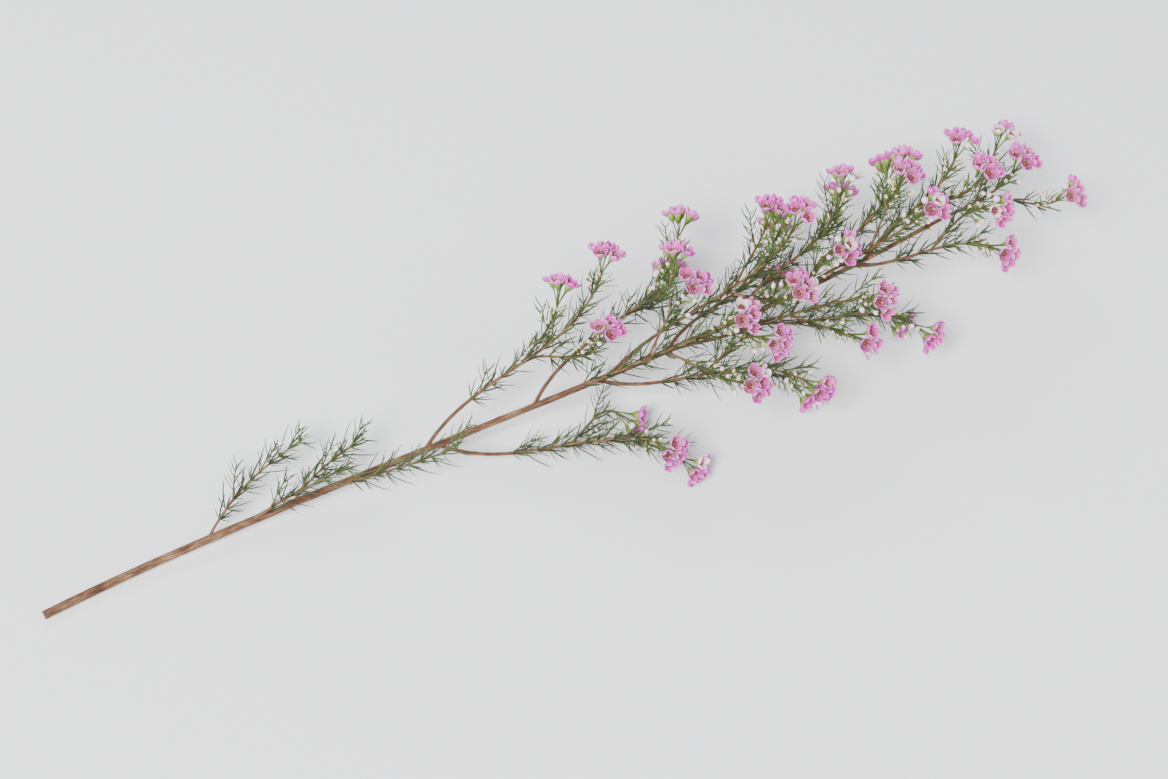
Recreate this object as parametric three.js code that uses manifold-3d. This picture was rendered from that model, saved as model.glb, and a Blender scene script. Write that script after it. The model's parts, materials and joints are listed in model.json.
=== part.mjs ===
// Waxflower stem (Chamelaucium), cut and lying on a flat surface. Millimetres; +X runs from the cut end
// to the flowering tip, +Z is up, and the origin is the middle of the bounding box's underside.
//
// One woody main stem carries opposite side sprays and, lower down, a few leafy shoots without flowers.
// Each spray forks into twigs with opposite needle leaves, and each twig ends in a flat-topped head of
// small cup flowers: one in the middle and five round it, each of five petals on a green calyx. In every
// other head or so, one of the five is still a bud. The sprays that would reach below the surface are
// pressed up by it, so the stem rests on its cut end and on the petals of its lowest heads.

import * as THREE from "three";
import { mergeVertices } from "three/addons/utils/BufferGeometryUtils.js";
import Module from "manifold-3d";

const wasm = await Module();
wasm.setup();

// ---------------------------------------------------------------- driving dimensions

// The main stem's line: how far it runs, rises and swings sideways, and where along it that happens.
const MAIN_STEM = { length: 565, rise: 47, sway: 17, lowerRise: 0.12, upperRise: 0.75, endSway: 0.3 };

// Wood is drawn in straight pieces (steps) with a few sides, and has a radius at its root and at its tip.
const STEM_WOOD = { root: 2.6, tip: 1.3, sides: 7, steps: 12 };
const SPRAY_WOOD = { root: 1.45, tip: 0.85, sides: 4, steps: 5 };
const TWIG_WOOD = { root: 0.95, tip: 0.8, sides: 4, steps: 2 };
const SHOOT_WOOD = { root: 1, tip: 0.6, sides: 4, steps: 4 };

const SPRAYS = {
  pairs: 7,
  firstAt: 0.42, // shares of the main stem's length
  lastAt: 0.91,
  stagger: 0.014, // between the two sprays of a pair
  crowding: 0.85, // under 1, so that the pairs stand closer together towards the tip
  longest: 154,
  shortest: 82,
  uneven: 0.09,
  onwards: 0.86, // how far a spray of length 1 reaches along the stem, and away from it
  outwards: 0.45,
  leaving: 44, // degrees between a spray's foot and the stem
  fanFrom: -34, // degrees above the surface, about the stem
  fanWidth: 248,
  fanStart: 0.37,
  twoTwigsUntil: 0.55, // share of the pairs; the later sprays have one twig
};
const LEADER = { length: 72, outwards: 0.12, twigs: 2 };

const TWIG = {
  longest: 47,
  shortest: 40,
  uneven: 0.12,
  firstAt: 0.55, // share of the spray's length
  nextAt: 0.06,
  leaving: 42, // degrees between a twig's foot and the spray, and between its tip and the spray
  reaching: 38,
  facing: 30,
  lift: 5,
};

const SHOOTS = { count: 4, firstAt: 0.18, lastAt: 0.32, length: 72, uneven: 0.2, fanFrom: 35, fanWidth: 110 };
const SHOOT_LEAN = { leaving: 40, reaching: 24, arriving: 12 };

const HEAD = {
  ring: 5, // flowers round the middle one
  spread: 28, // degrees between them and the middle one
  raised: 0.9, // the middle one stands higher
  petalsApart: 9, // degrees between a ring flower and the middle flower's nearest petal tip
  spacing: 27, // between the middles of two heads
  middle: 13, // height of a head's middle above its foot
};
const FACING = { onwards: 0.55, outwards: 0.6, leastUp: 0.1 };
const STALK = { length: 9, radius: 0.45, sides: 3, sunk: 1, ringFoot: 4.2, nextFoot: 3 };
const CALYX = { length: 5, topRadius: 2.3, dish: 0.9 };
const FLOWER = { radius: 4.8, notch: 0.86, cup: 3.6, lip: 0.9, throat: 1.5, seat: 0.35, petals: 5 };
const BUD = { radius: 2.1, leaning: 44, stalk: 7.5, widest: 3.4, height: 6.2, foot: 12 };

const LEAF = { length: 18, uneven: 0.22, radius: 0.58, spacing: 7.2, spreading: 38, topPair: 0.6, turn: 8 };
const SPRAY_LEAVES = { from: 0.26, nearTip: 9, keepEvery: 7 }; // from: share of the wood that stays bare
const TWIG_LEAVES = { from: 0.2, nearTip: 9, keepEvery: 5 };
const SHOOT_LEAVES = { from: 0.15, nearTip: 3, keepEvery: 2 };

const BEND = 0.38; // how far a branch keeps its direction at either end, as a share of its reach
const ABOVE_SURFACE = { wood: 2, head: 9, softness: 8 };
const CLEARANCE = 0.4; // between a leaf and anything that it isn't grown from
const SEAT = 0.3; // between a spray's foot and the main stem
const SMOOTHING = 0.15; // the most that a join's surface moves as its needless corners are dropped
const SETTLING_ROUNDS = 80;

const GOLDEN = 0.618034;
const DEGREE = Math.PI / 180;
const UP = new THREE.Vector3(0, 0, 1);

// ---------------------------------------------------------------- small helpers

// Repeatable scatter: the same two whole numbers always give the same value between -1 and 1.
// The second number says which draw it is.
const SEED = 3.7;
function vary(item, draw) {
  const wave = Math.sin(item * 12.9898 + draw * 78.233 + SEED) * 4375.5453;
  return 2 * (wave - Math.floor(wave)) - 1;
}
const DRAW = {
  sprayLength: 1,
  twigLength: 4,
  twigPlace: 7,
  twigLift: 9,
  shootLength: 11,
  flowerTurn: 30,
  flowerTilt: 40,
  flowerRise: 50,
  stalkFoot: 60,
  lateFlower: 70,
  leafTurn: 100,
  leafLength: 200,
};
const OTHER_SIDE = 50; // added to the item of the second leaf of a pair
const TWIG_ITEMS = 100; // added to the item of a twig's and of a shoot's leaves
const SHOOT_ITEMS = 200;

const mix = (from, to, share) => from + (to - from) * share;
const fraction = (value) => value - Math.floor(value);
const v3 = (x, y, z) => new THREE.Vector3(x, y, z);

// The sum of vectors, each given with its weight, at length 1.
function blend(...pairs) {
  const sum = v3(0, 0, 0);
  for (const [vector, weight] of pairs) sum.addScaledVector(vector, weight);
  return sum.normalize();
}

// A direction that leans from one unit vector towards a perpendicular one.
const lean = (from, towards, degrees) =>
  blend([from, Math.cos(degrees * DEGREE)], [towards, Math.sin(degrees * DEGREE)]);

// Two unit vectors square to an axis and to each other. The first is level.
function squareTo(axis) {
  const u = v3().crossVectors(axis, UP).normalize();
  return [u, v3().crossVectors(axis, u)];
}

// Lifts a point softly, so that nothing dips under the surface that the stem lies on.
function settle(point, clearance) {
  const height = point.z - clearance;
  point.z = clearance + 0.5 * (height + Math.hypot(height, ABOVE_SURFACE.softness));
  return point;
}

// ---------------------------------------------------------------- skeleton: lines and directions only

const stemLine = new THREE.CubicBezierCurve3(
  v3(0, 0, STEM_WOOD.root),
  v3(MAIN_STEM.length / 3, MAIN_STEM.sway, STEM_WOOD.root + MAIN_STEM.lowerRise * MAIN_STEM.rise),
  v3((2 * MAIN_STEM.length) / 3, -MAIN_STEM.sway, STEM_WOOD.root + MAIN_STEM.upperRise * MAIN_STEM.rise),
  v3(MAIN_STEM.length, MAIN_STEM.endSway * MAIN_STEM.sway, STEM_WOOD.root + MAIN_STEM.rise),
);
const stem = { line: stemLine, ...STEM_WOOD };

// A branch leaves its parent in one direction and arrives at its tip in another.
function branchLine(root, leave, tip, arrive) {
  const reach = BEND * root.distanceTo(tip);
  const first = settle(root.clone().addScaledVector(leave, reach), ABOVE_SURFACE.wood);
  const second = settle(tip.clone().addScaledVector(arrive, -reach), ABOVE_SURFACE.wood);
  return new THREE.CubicBezierCurve3(root, first, second, tip);
}

// A point on a branch as it is drawn: on its straight pieces, not on the smooth line through their ends.
function pointOn({ line, steps }, share) {
  const along = share * steps;
  const piece = Math.min(Math.floor(along), steps - 1);
  const end = line.getPointAt((piece + 1) / steps);
  return line.getPointAt(piece / steps).lerp(end, along - piece);
}

// Where a head faces: onwards with its twig, and out from the stem, but not down into the surface.
function facing(onwards, away) {
  const outwards = v3(0, away.y, Math.max(away.z, FACING.leastUp)).normalize();
  return blend([onwards, FACING.onwards], [outwards, FACING.outwards]);
}

// The foot, directions and length of side spray b. The last number is the leader, which goes straight on.
function sprayPlan(b) {
  if (b === 2 * SPRAYS.pairs) {
    const onwards = stemLine.getTangentAt(1);
    const foot = pointOn(stem, 1).addScaledVector(onwards, SEAT);
    return { ...LEADER, foot, onwards, away: UP, leave: onwards, share: 1 };
  }
  const share = Math.floor(b / 2) / (SPRAYS.pairs - 1);
  const at = mix(SPRAYS.firstAt, SPRAYS.lastAt, share ** SPRAYS.crowding) + SPRAYS.stagger * (b % 2);
  const azimuth = DEGREE * (SPRAYS.fanFrom + SPRAYS.fanWidth * fraction(GOLDEN * b + SPRAYS.fanStart));
  const away = v3(0, Math.cos(azimuth), Math.sin(azimuth));
  const onwards = stemLine.getTangentAt(at);
  return {
    foot: pointOn(stem, at),
    onwards,
    away,
    leave: lean(onwards, away, SPRAYS.leaving),
    length: mix(SPRAYS.longest, SPRAYS.shortest, share) * (1 + SPRAYS.uneven * vary(b, DRAW.sprayLength)),
    outwards: SPRAYS.outwards,
    twigs: share < SPRAYS.twoTwigsUntil ? 2 : 1,
    share,
  };
}

// A spray's main branch, whose tip carries a head. It reaches freely, or to the given place.
function layOutBranch(plan, place) {
  const free = plan.foot
    .clone()
    .addScaledVector(plan.onwards, plan.length * SPRAYS.onwards)
    .addScaledVector(plan.away, plan.length * plan.outwards);
  const base = place ?? settle(free, ABOVE_SURFACE.head);
  const axis = facing(blend([plan.onwards, SPRAYS.onwards], [plan.away, SPRAYS.outwards]), plan.away);
  return { base, axis, wood: { line: branchLine(plan.foot, plan.leave, base, axis), ...SPRAY_WOOD } };
}

// Twig k of spray b, which leaves the main branch to one side and ends in a head too.
function layOutTwig(b, k, plan, wood, place) {
  const at = TWIG.firstAt + TWIG.nextAt * (k + vary(b, DRAW.twigPlace + k));
  const root = pointOn(wood, at);
  const onwards = wood.line.getTangentAt(at);
  const side = (b + k) % 2 ? 1 : -1;
  const across = v3().crossVectors(onwards, plan.away).normalize().multiplyScalar(side);
  const even = mix(TWIG.longest, TWIG.shortest, plan.share);
  const length = even * (1 + TWIG.uneven * vary(b, DRAW.twigLength + k));
  const free = root
    .clone()
    .addScaledVector(lean(onwards, across, TWIG.reaching), length)
    .addScaledVector(plan.away, TWIG.lift * vary(b, DRAW.twigLift + k));
  const base = place ?? settle(free, ABOVE_SURFACE.head);
  const axis = facing(lean(onwards, across, TWIG.facing), plan.away);
  const line = branchLine(root, lean(onwards, across, TWIG.leaving), base, axis);
  return { base, axis, wood: { line, ...TWIG_WOOD } };
}

// All sprays, with their heads at the given places or, without places, where they would freely be.
function layOutSprays(places = []) {
  let next = 0;
  return Array.from({ length: 2 * SPRAYS.pairs + 1 }, (_, b) => {
    const plan = sprayPlan(b);
    const heads = [layOutBranch(plan, places[next++])];
    for (let k = 0; k < plan.twigs; k++) heads.push(layOutTwig(b, k, plan, heads[0].wood, places[next++]));
    return { b, heads };
  });
}

// Where each flower of a head points, where its inward petal points, how much higher it stands, how far
// down the twig its stalk's foot is, and whether it is open. Every other stalk of the ring leaves from
// further down. A late flower of the ring is still a bud.
function flowersOf(head, number) {
  const [u, v] = squareTo(head.axis);
  const sideOf = (i) => (360 * (i + 0.5)) / HEAD.ring;
  const middle = { way: head.axis, inwards: lean(u, v, sideOf(0) + HEAD.petalsApart) };
  const flowers = [{ ...middle, rise: HEAD.raised, down: STALK.sunk, open: true }];
  const late = vary(number, DRAW.lateFlower) > 0 ? number % HEAD.ring : -1;
  for (let i = 0; i < HEAD.ring; i++) {
    const outwards = lean(u, v, sideOf(i) + 2 * vary(number, DRAW.flowerTurn + i));
    const tilt = HEAD.spread + 0.4 * vary(number, DRAW.flowerTilt + i);
    flowers.push({
      way: lean(head.axis, outwards, tilt),
      inwards: lean(outwards.clone().negate(), head.axis, tilt),
      rise: 0.1 * vary(number, DRAW.flowerRise + i),
      down: STALK.ringFoot + STALK.nextFoot * (i % 2) + 0.5 * vary(number, DRAW.stalkFoot + i),
      open: i !== late,
    });
  }
  return flowers;
}

// Height of the petals' foot above the head's foot, for a flower that stands no higher than the others.
const PETALS_FROM = STALK.length + CALYX.length - CALYX.dish + FLOWER.seat;

// How far the lowest petal tip of a head lies below the head's foot.
function hang(head, number) {
  let lowest = 0;
  for (const { way, inwards, rise } of flowersOf(head, number).filter((flower) => flower.open)) {
    const across = v3().crossVectors(way, inwards);
    for (let k = 0; k < FLOWER.petals; k++) {
      const out = lean(inwards, across, (360 * k) / FLOWER.petals);
      const tip = (PETALS_FROM + FLOWER.cup + rise) * way.z + FLOWER.radius * out.z;
      lowest = Math.min(lowest, tip, tip + FLOWER.lip * way.z);
    }
  }
  return -lowest;
}

// Heads push each other apart until each has its own room, and stay above the surface.
function settledPlaces(heads) {
  const bases = heads.map((head) => head.base.clone());
  const lowest = heads.map(hang);
  const middle = (i) => bases[i].clone().addScaledVector(heads[i].axis, HEAD.middle);
  for (let round = 0; round < SETTLING_ROUNDS; round++) {
    for (let i = 0; i < bases.length; i++) {
      for (let j = i + 1; j < bases.length; j++) {
        const apart = middle(j).sub(middle(i));
        const short = HEAD.spacing - apart.length();
        if (short <= 0) continue;
        apart.normalize().multiplyScalar(0.5 * short);
        bases[i].sub(apart);
        bases[j].add(apart);
      }
    }
    for (let i = 0; i < bases.length; i++) bases[i].z = Math.max(bases[i].z, lowest[i]);
  }
  return bases;
}

const headsOf = (sprays) => sprays.flatMap((spray) => spray.heads);
const sprays = layOutSprays(settledPlaces(headsOf(layOutSprays())));
const heads = headsOf(sprays);
heads.forEach((head, number) => {
  head.number = number;
  head.flowers = flowersOf(head, number);
});

function layOutShoot(s) {
  const at = mix(SHOOTS.firstAt, SHOOTS.lastAt, s / (SHOOTS.count - 1));
  const azimuth = DEGREE * (SHOOTS.fanFrom + SHOOTS.fanWidth * fraction(GOLDEN * s));
  const away = v3(0, Math.cos(azimuth), Math.sin(azimuth));
  const root = pointOn(stem, at);
  const onwards = stemLine.getTangentAt(at);
  const length = SHOOTS.length * (1 + SHOOTS.uneven * vary(s, DRAW.shootLength));
  const tip = root.clone().addScaledVector(lean(onwards, away, SHOOT_LEAN.reaching), length);
  const leave = lean(onwards, away, SHOOT_LEAN.leaving);
  const arrive = lean(onwards, away, SHOOT_LEAN.arriving);
  return { s, wood: { line: branchLine(root, leave, tip, arrive), ...SHOOT_WOOD } };
}

const shoots = Array.from({ length: SHOOTS.count }, (_, s) => layOutShoot(s));

// ---------------------------------------------------------------- names and colours

const numbered = (word, number) => `${word}_${String(number).padStart(2, "0")}`;
const headName = (number) => numbered("flower_head", number + 1);
const sprayName = (b) => (b === 2 * SPRAYS.pairs ? "leader_spray" : numbered("side_spray", b + 1));
const shootName = (s) => numbered("leafy_shoot", s + 1);

const bark = new THREE.MeshStandardMaterial({ color: 0x7d543a, roughness: 0.85, metalness: 0 });
const foliage = new THREE.MeshStandardMaterial({ color: 0x58743a, roughness: 0.6, metalness: 0 });
const petals = new THREE.MeshStandardMaterial({ color: 0xd183c4, roughness: 0.45, metalness: 0 });

// ---------------------------------------------------------------- room: what each node already fills

// Rounded bars from a to b, each of which belongs to one node.
const filled = [];
const fill = (node, a, b, radius) => filled.push({ node, a, b, radius });

function fillWood(node, { line, root, tip, steps }) {
  for (let i = 0; i < steps; i++) {
    fill(node, line.getPointAt(i / steps), line.getPointAt((i + 1) / steps), mix(root, tip, i / steps));
  }
}

function fillHead(node, { base, flowers, number }) {
  for (const { way, rise, open } of flowers) {
    const neck = base.clone().addScaledVector(way, STALK.length + rise);
    const top = neck.clone().addScaledVector(way, CALYX.length);
    const cup = base.clone().addScaledVector(way, PETALS_FROM + FLOWER.cup + rise);
    fill(node, base, neck, STALK.radius);
    fill(node, neck, top, CALYX.topRadius);
    if (open) fill(headName(number), cup, cup, FLOWER.radius);
  }
}

// The shortest distance between the middle lines of two bars, a to b and c to d.
function barDistance(a, b, c, d) {
  const p = v3().subVectors(b, a);
  const q = v3().subVectors(d, c);
  const r = v3().subVectors(a, c);
  const pp = p.dot(p);
  const qq = q.dot(q);
  const pq = p.dot(q);
  const pr = p.dot(r);
  const qr = q.dot(r);
  const square = pp * qq - pq * pq;
  const within = (x) => Math.min(1, Math.max(0, x));
  let s = square > 0 ? within((pq * qr - pr * qq) / square) : 0;
  let t = qq > 0 ? (pq * s + qr) / qq : 0;
  if (t < 0 || t > 1) {
    t = within(t);
    s = pp > 0 ? within((pq * t - pr) / pp) : 0;
  }
  return r.addScaledVector(p, s).addScaledVector(q, -t).length();
}

function isClear(node, a, b, radius) {
  const free = (bar) => barDistance(a, b, bar.a, bar.b) > radius + bar.radius + CLEARANCE;
  return filled.every((bar) => bar.node === node || free(bar));
}

// ---------------------------------------------------------------- solids

// A three.js geometry as a closed solid, without the faces that merging its corners folds flat.
function solidOf(geometry) {
  const bare = new THREE.BufferGeometry();
  bare.setAttribute("position", geometry.getAttribute("position"));
  bare.setIndex(geometry.getIndex());
  const merged = mergeVertices(bare);
  const index = merged.getIndex().array;
  const kept = [];
  for (let i = 0; i < index.length; i += 3) {
    const [a, b, c] = index.slice(i, i + 3);
    if (a !== b && b !== c && c !== a) kept.push(a, b, c);
  }
  return new wasm.Manifold(
    new wasm.Mesh({
      numProp: 3,
      vertProperties: merged.getAttribute("position").array,
      triVerts: new Uint32Array(kept),
    }),
  );
}

function geometryOf(solid) {
  const mesh = solid.asOriginal().simplify(SMOOTHING).getMesh();
  const geometry = new THREE.BufferGeometry();
  geometry.setAttribute("position", new THREE.BufferAttribute(mesh.vertProperties, 3));
  geometry.setIndex(new THREE.BufferAttribute(mesh.triVerts, 1));
  geometry.computeVertexNormals();
  return geometry;
}

// A tapered round bar, bent along a line. Its flat sides face 45 degrees off level where it has four.
function woodSolid({ line, root, tip, sides, steps }) {
  const bar = new THREE.CylinderGeometry(tip, root, 1, sides, steps);
  const place = bar.getAttribute("position");
  for (let i = 0; i < place.count; i++) {
    const share = Math.round((place.getY(i) + 0.5) * steps) / steps;
    const [u, v] = squareTo(line.getTangentAt(share));
    const point = line.getPointAt(share);
    point.addScaledVector(v, place.getX(i)).addScaledVector(u, place.getZ(i));
    place.setXYZ(i, point.x, point.y, point.z);
  }
  return solidOf(bar);
}

// A solid turned about +Y, with one of its corners towards +X.
function turned(outline, sides) {
  const profile = outline.map(([radius, height]) => new THREE.Vector2(radius, height));
  return new THREE.LatheGeometry(profile, sides, Math.PI / 2);
}

// Stands an upright geometry on a point, with +Y along one direction and +X near another.
function standOn(geometry, point, along, near) {
  const z = v3().crossVectors(near, along).normalize();
  const x = v3().crossVectors(along, z);
  return geometry.applyMatrix4(new THREE.Matrix4().makeBasis(x, along, z).setPosition(point));
}

// A thin stalk that widens into the calyx, whose dished top carries the flower, or into a bud. It stands
// on the head's foot, and its own foot is then drawn down into the twig.
function stalkAndCalyx(head, { way, inwards, rise, down, open }) {
  const neck = STALK.length + rise;
  const top = neck + CALYX.length;
  const calyx = [
    [CALYX.topRadius, top],
    [0, top - CALYX.dish],
  ];
  const bud = [
    [BUD.radius, neck + BUD.widest],
    [0, neck + BUD.height],
  ];
  const outline = [[0, 0], [STALK.radius, 0], [STALK.radius, neck], ...(open ? calyx : bud)];
  const geometry = standOn(turned(outline, STALK.sides), head.base, way, inwards.clone().negate());
  const foot = pointOn(head.wood, 1 - down / head.wood.line.getLength());
  const place = geometry.getAttribute("position");
  for (let i = 0; i < place.count; i++) {
    const point = v3().fromBufferAttribute(place, i).sub(head.base);
    if (point.dot(way) > 0.5 * neck) continue;
    point.add(foot);
    place.setXYZ(i, point.x, point.y, point.z);
  }
  return solidOf(geometry);
}

// Five petals in a shallow cup. Each petal is thick at its tip and thins to its seam with the next.
function cupOfPetals(head, { way, inwards, rise }) {
  const outline = [
    [0, 0],
    [FLOWER.radius, FLOWER.cup],
    [FLOWER.radius, FLOWER.cup + FLOWER.lip],
    [0, FLOWER.throat],
  ];
  const geometry = turned(outline, 2 * FLOWER.petals);
  const place = geometry.getAttribute("position");
  for (let i = 0; i < place.count; i++) {
    const x = place.getX(i);
    const z = place.getZ(i);
    const step = Math.round((Math.atan2(z, x) * FLOWER.petals) / Math.PI);
    const atSeam = Math.hypot(x, z) > FLOWER.throat && step % 2 !== 0;
    if (atSeam) place.setXYZ(i, x * FLOWER.notch, FLOWER.cup, z * FLOWER.notch);
  }
  const foot = head.base.clone().addScaledVector(way, PETALS_FROM + rise);
  return solidOf(standOn(geometry, foot, way, inwards));
}

// The opposite pairs of needle leaves along a branch, counted from its tip. Each pair stands a quarter
// turn from the last, on the flat sides of the wood.
function leafPairs({ line, ...wood }, item, { from, nearTip }) {
  const total = line.getLength();
  const leaves = [];
  for (let n = 0; nearTip + n * LEAF.spacing < total * (1 - from); n++) {
    const at = 1 - (nearTip + n * LEAF.spacing) / total;
    const foot = pointOn({ line, ...wood }, at);
    const onwards = line.getTangentAt(at);
    const [u, v] = squareTo(onwards);
    const turn = 45 + 90 * (n % 2) + LEAF.turn * vary(item, DRAW.leafTurn + n);
    for (const second of [0, 1]) {
      const uneven = 1 + LEAF.uneven * vary(item + second * OTHER_SIDE, DRAW.leafLength + n);
      const length = LEAF.length * uneven * (n === 0 ? LEAF.topPair : 1);
      const out = lean(u, v, turn + 180 * second);
      const tip = foot.clone().addScaledVector(lean(onwards, out, LEAF.spreading), length);
      tip.z = Math.max(tip.z, 2 * LEAF.radius);
      leaves.push({ n, foot, out, tip });
    }
  }
  return leaves;
}

// The leaves that stand out as solids: every few pairs, where they keep clear of the other nodes.
function leafSolids(node, wood, item, kind) {
  const made = [];
  for (const { n, foot, out, tip } of leafPairs(wood, item, kind)) {
    if (n % kind.keepEvery !== 0 || !isClear(node, foot, tip, LEAF.radius)) continue;
    fill(node, foot, tip, LEAF.radius);
    const length = foot.distanceTo(tip);
    const needle = new THREE.ConeGeometry(LEAF.radius, length, 3).translate(0, length / 2, 0);
    made.push(solidOf(standOn(needle, foot, v3().subVectors(tip, foot).normalize(), out)));
  }
  return made;
}

// A bud leans out below a ring of five open flowers, where there is room for it.
function budSolids(node, { axis, wood, flowers, number }) {
  if (!flowers.every((flower) => flower.open)) return [];
  const foot = pointOn(wood, 1 - BUD.foot / wood.line.getLength());
  const [u, v] = squareTo(axis);
  const out = lean(u, v, (360 * (number + 0.5)) / wood.sides);
  const way = lean(axis, out, BUD.leaning);
  const ball = foot.clone().addScaledVector(way, BUD.stalk + BUD.widest);
  if (ball.z < BUD.radius || !isClear(node, foot, ball, BUD.radius)) return [];
  fill(node, foot, ball, BUD.radius);
  const outline = [
    [0, 0],
    [STALK.radius, 0],
    [STALK.radius, BUD.stalk],
    [BUD.radius, BUD.stalk + BUD.widest],
    [0, BUD.stalk + BUD.height],
  ];
  return [solidOf(standOn(turned(outline, STALK.sides), foot, way, out))];
}

// ---------------------------------------------------------------- nodes

const waxflowerStem = new THREE.Group();
waxflowerStem.name = "waxflower_stem";

function addNode(name, solid, material) {
  const mesh = new THREE.Mesh(geometryOf(solid), material);
  mesh.name = name;
  waxflowerStem.add(mesh);
}

// The main stem, a little larger: it is cut off the feet of sprays and shoots, so that they seat on it.
const seatOfBranches = woodSolid({ ...stem, root: STEM_WOOD.root + SEAT, tip: STEM_WOOD.tip + SEAT });

function addSpray({ b, heads: [first, ...others] }) {
  const node = sprayName(b);
  const solids = [woodSolid(first.wood), ...leafSolids(node, first.wood, b, SPRAY_LEAVES)];
  for (const twig of others) {
    solids.push(woodSolid(twig.wood), ...leafSolids(node, twig.wood, TWIG_ITEMS + twig.number, TWIG_LEAVES));
  }
  for (const head of [first, ...others]) {
    solids.push(...head.flowers.map((flower) => stalkAndCalyx(head, flower)), ...budSolids(node, head));
  }
  addNode(node, wasm.Manifold.union(solids).subtract(seatOfBranches), foliage);
}

function addHead(head) {
  const cups = head.flowers.filter((flower) => flower.open).map((flower) => cupOfPetals(head, flower));
  addNode(headName(head.number), wasm.Manifold.union(cups), petals);
}

function addShoot({ s, wood }) {
  const node = shootName(s);
  const solids = [woodSolid(wood), ...leafSolids(node, wood, SHOOT_ITEMS + s, SHOOT_LEAVES)];
  addNode(node, wasm.Manifold.union(solids).subtract(seatOfBranches), foliage);
}

fillWood("main_stem", stem);
for (const { s, wood } of shoots) fillWood(shootName(s), wood);
for (const spray of sprays) {
  for (const head of spray.heads) {
    fillWood(sprayName(spray.b), head.wood);
    fillHead(sprayName(spray.b), head);
  }
}

addNode("main_stem", woodSolid(stem), bark);
shoots.forEach(addShoot);
sprays.forEach(addSpray);
heads.forEach(addHead);

const box = new THREE.Box3().setFromObject(waxflowerStem);
const middle = box.getCenter(v3());
waxflowerStem.position.set(-middle.x, -middle.y, -box.min.z);

export default waxflowerStem;
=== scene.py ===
import json
import math
from functools import partial

import bpy
import numpy as np
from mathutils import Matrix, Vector

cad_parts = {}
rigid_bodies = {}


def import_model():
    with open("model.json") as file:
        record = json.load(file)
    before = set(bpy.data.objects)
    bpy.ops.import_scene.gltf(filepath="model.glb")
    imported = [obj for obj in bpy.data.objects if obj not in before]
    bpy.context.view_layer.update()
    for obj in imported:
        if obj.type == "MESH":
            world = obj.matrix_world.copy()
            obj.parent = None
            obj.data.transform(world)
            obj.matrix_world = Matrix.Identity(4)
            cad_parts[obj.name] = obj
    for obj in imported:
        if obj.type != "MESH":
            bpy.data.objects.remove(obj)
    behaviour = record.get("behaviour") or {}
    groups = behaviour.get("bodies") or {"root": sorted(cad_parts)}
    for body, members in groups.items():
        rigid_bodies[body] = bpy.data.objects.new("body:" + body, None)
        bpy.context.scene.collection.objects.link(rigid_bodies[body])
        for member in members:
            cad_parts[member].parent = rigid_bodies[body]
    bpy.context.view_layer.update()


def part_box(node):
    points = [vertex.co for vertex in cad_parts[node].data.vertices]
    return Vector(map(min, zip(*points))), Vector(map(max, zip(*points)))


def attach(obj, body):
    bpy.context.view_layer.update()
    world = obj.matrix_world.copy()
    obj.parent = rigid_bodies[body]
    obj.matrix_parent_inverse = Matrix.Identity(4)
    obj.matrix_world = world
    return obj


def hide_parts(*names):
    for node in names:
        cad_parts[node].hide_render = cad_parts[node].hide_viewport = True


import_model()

# --------------------------------------------------------------------------------------------------
# Main stem. The woody cane of a waxflower bush, grown in one season and cut with secateurs at its
# lower end. Its bark is thin and reddish brown, split lengthwise into fine ridges, with paired
# scars where needles were shed. Everything else grows from it.


class Named(dict):
    """Values that are read by name, as in STEM.length."""

    __getattr__ = dict.__getitem__


# Sizes are in millimetres and turns in degrees. A wave is given by its height, its count round the
# bar, its run along it and its lag. DRAW says where each series of draws starts.
STEM = Named(length=565, rise=47, sway=17, lower_rise=0.12, upper_rise=0.75, end_sway=0.3, sides=7)
STEM_WOOD = Named(root=2.6, tip=1.3, steps=12)
STEM_LOOK = Named(sides=28, row=2.6, girth=0.95, ridges=10, ridge=0.085, young=0.32)
RIDGE_WANDER = [(0.25, 0, 70, 0), (0.06, 0, 17, 1)]
STEM_SWELLING = [(0.03, 5, 50, 0), (0.012, 2, 4, 0)]
SCAR = Named(every=15, uneven=3, height=0.2, length=1.1, all_round=0.35, sharpness=3, at_tip=0.6)
CUT_FACE = Named(rings=6, girth=0.97, middle=0.03, dish=0.2, proud=0.25, plug=1.0)
DRAW = dict(scar=300)
LINE_TICKS = 201
UP = np.array([0.0, 0.0, 1.0])
MM = 0.001


def vary(item, series, step=0):
    """A value between -1 and 1 that is always the same for one item and step of a series."""
    wave = math.sin(item * 12.9898 + (DRAW[series] + step) * 78.233 + 3.7) * 4375.5453
    return 2 * (wave - math.floor(wave)) - 1


def mix(start, end, share):
    return start + (end - start) * share


def unit(v):
    return v / np.linalg.norm(v, axis=-1, keepdims=True)


def turns(sides):
    return np.arange(sides) * math.tau / sides


def polar(radius, angle, height):
    """Points given by their radius and angle round the way up, and their height."""
    parts = radius * np.cos(angle), radius * np.sin(angle), height
    return np.stack(np.broadcast_arrays(*parts), axis=-1)


def waves(parts, around, along):
    """The height of a surface made of waves, round a bar and along it."""
    rises = [high * np.sin(count * around + along / run + lag) for high, count, run, lag in parts]
    return sum(rises)


def square_to(axis):
    """Two unit vectors square to an axis and to each other. The first is level."""
    u = unit(np.cross(axis, UP))
    return u, np.cross(axis, u)


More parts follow.
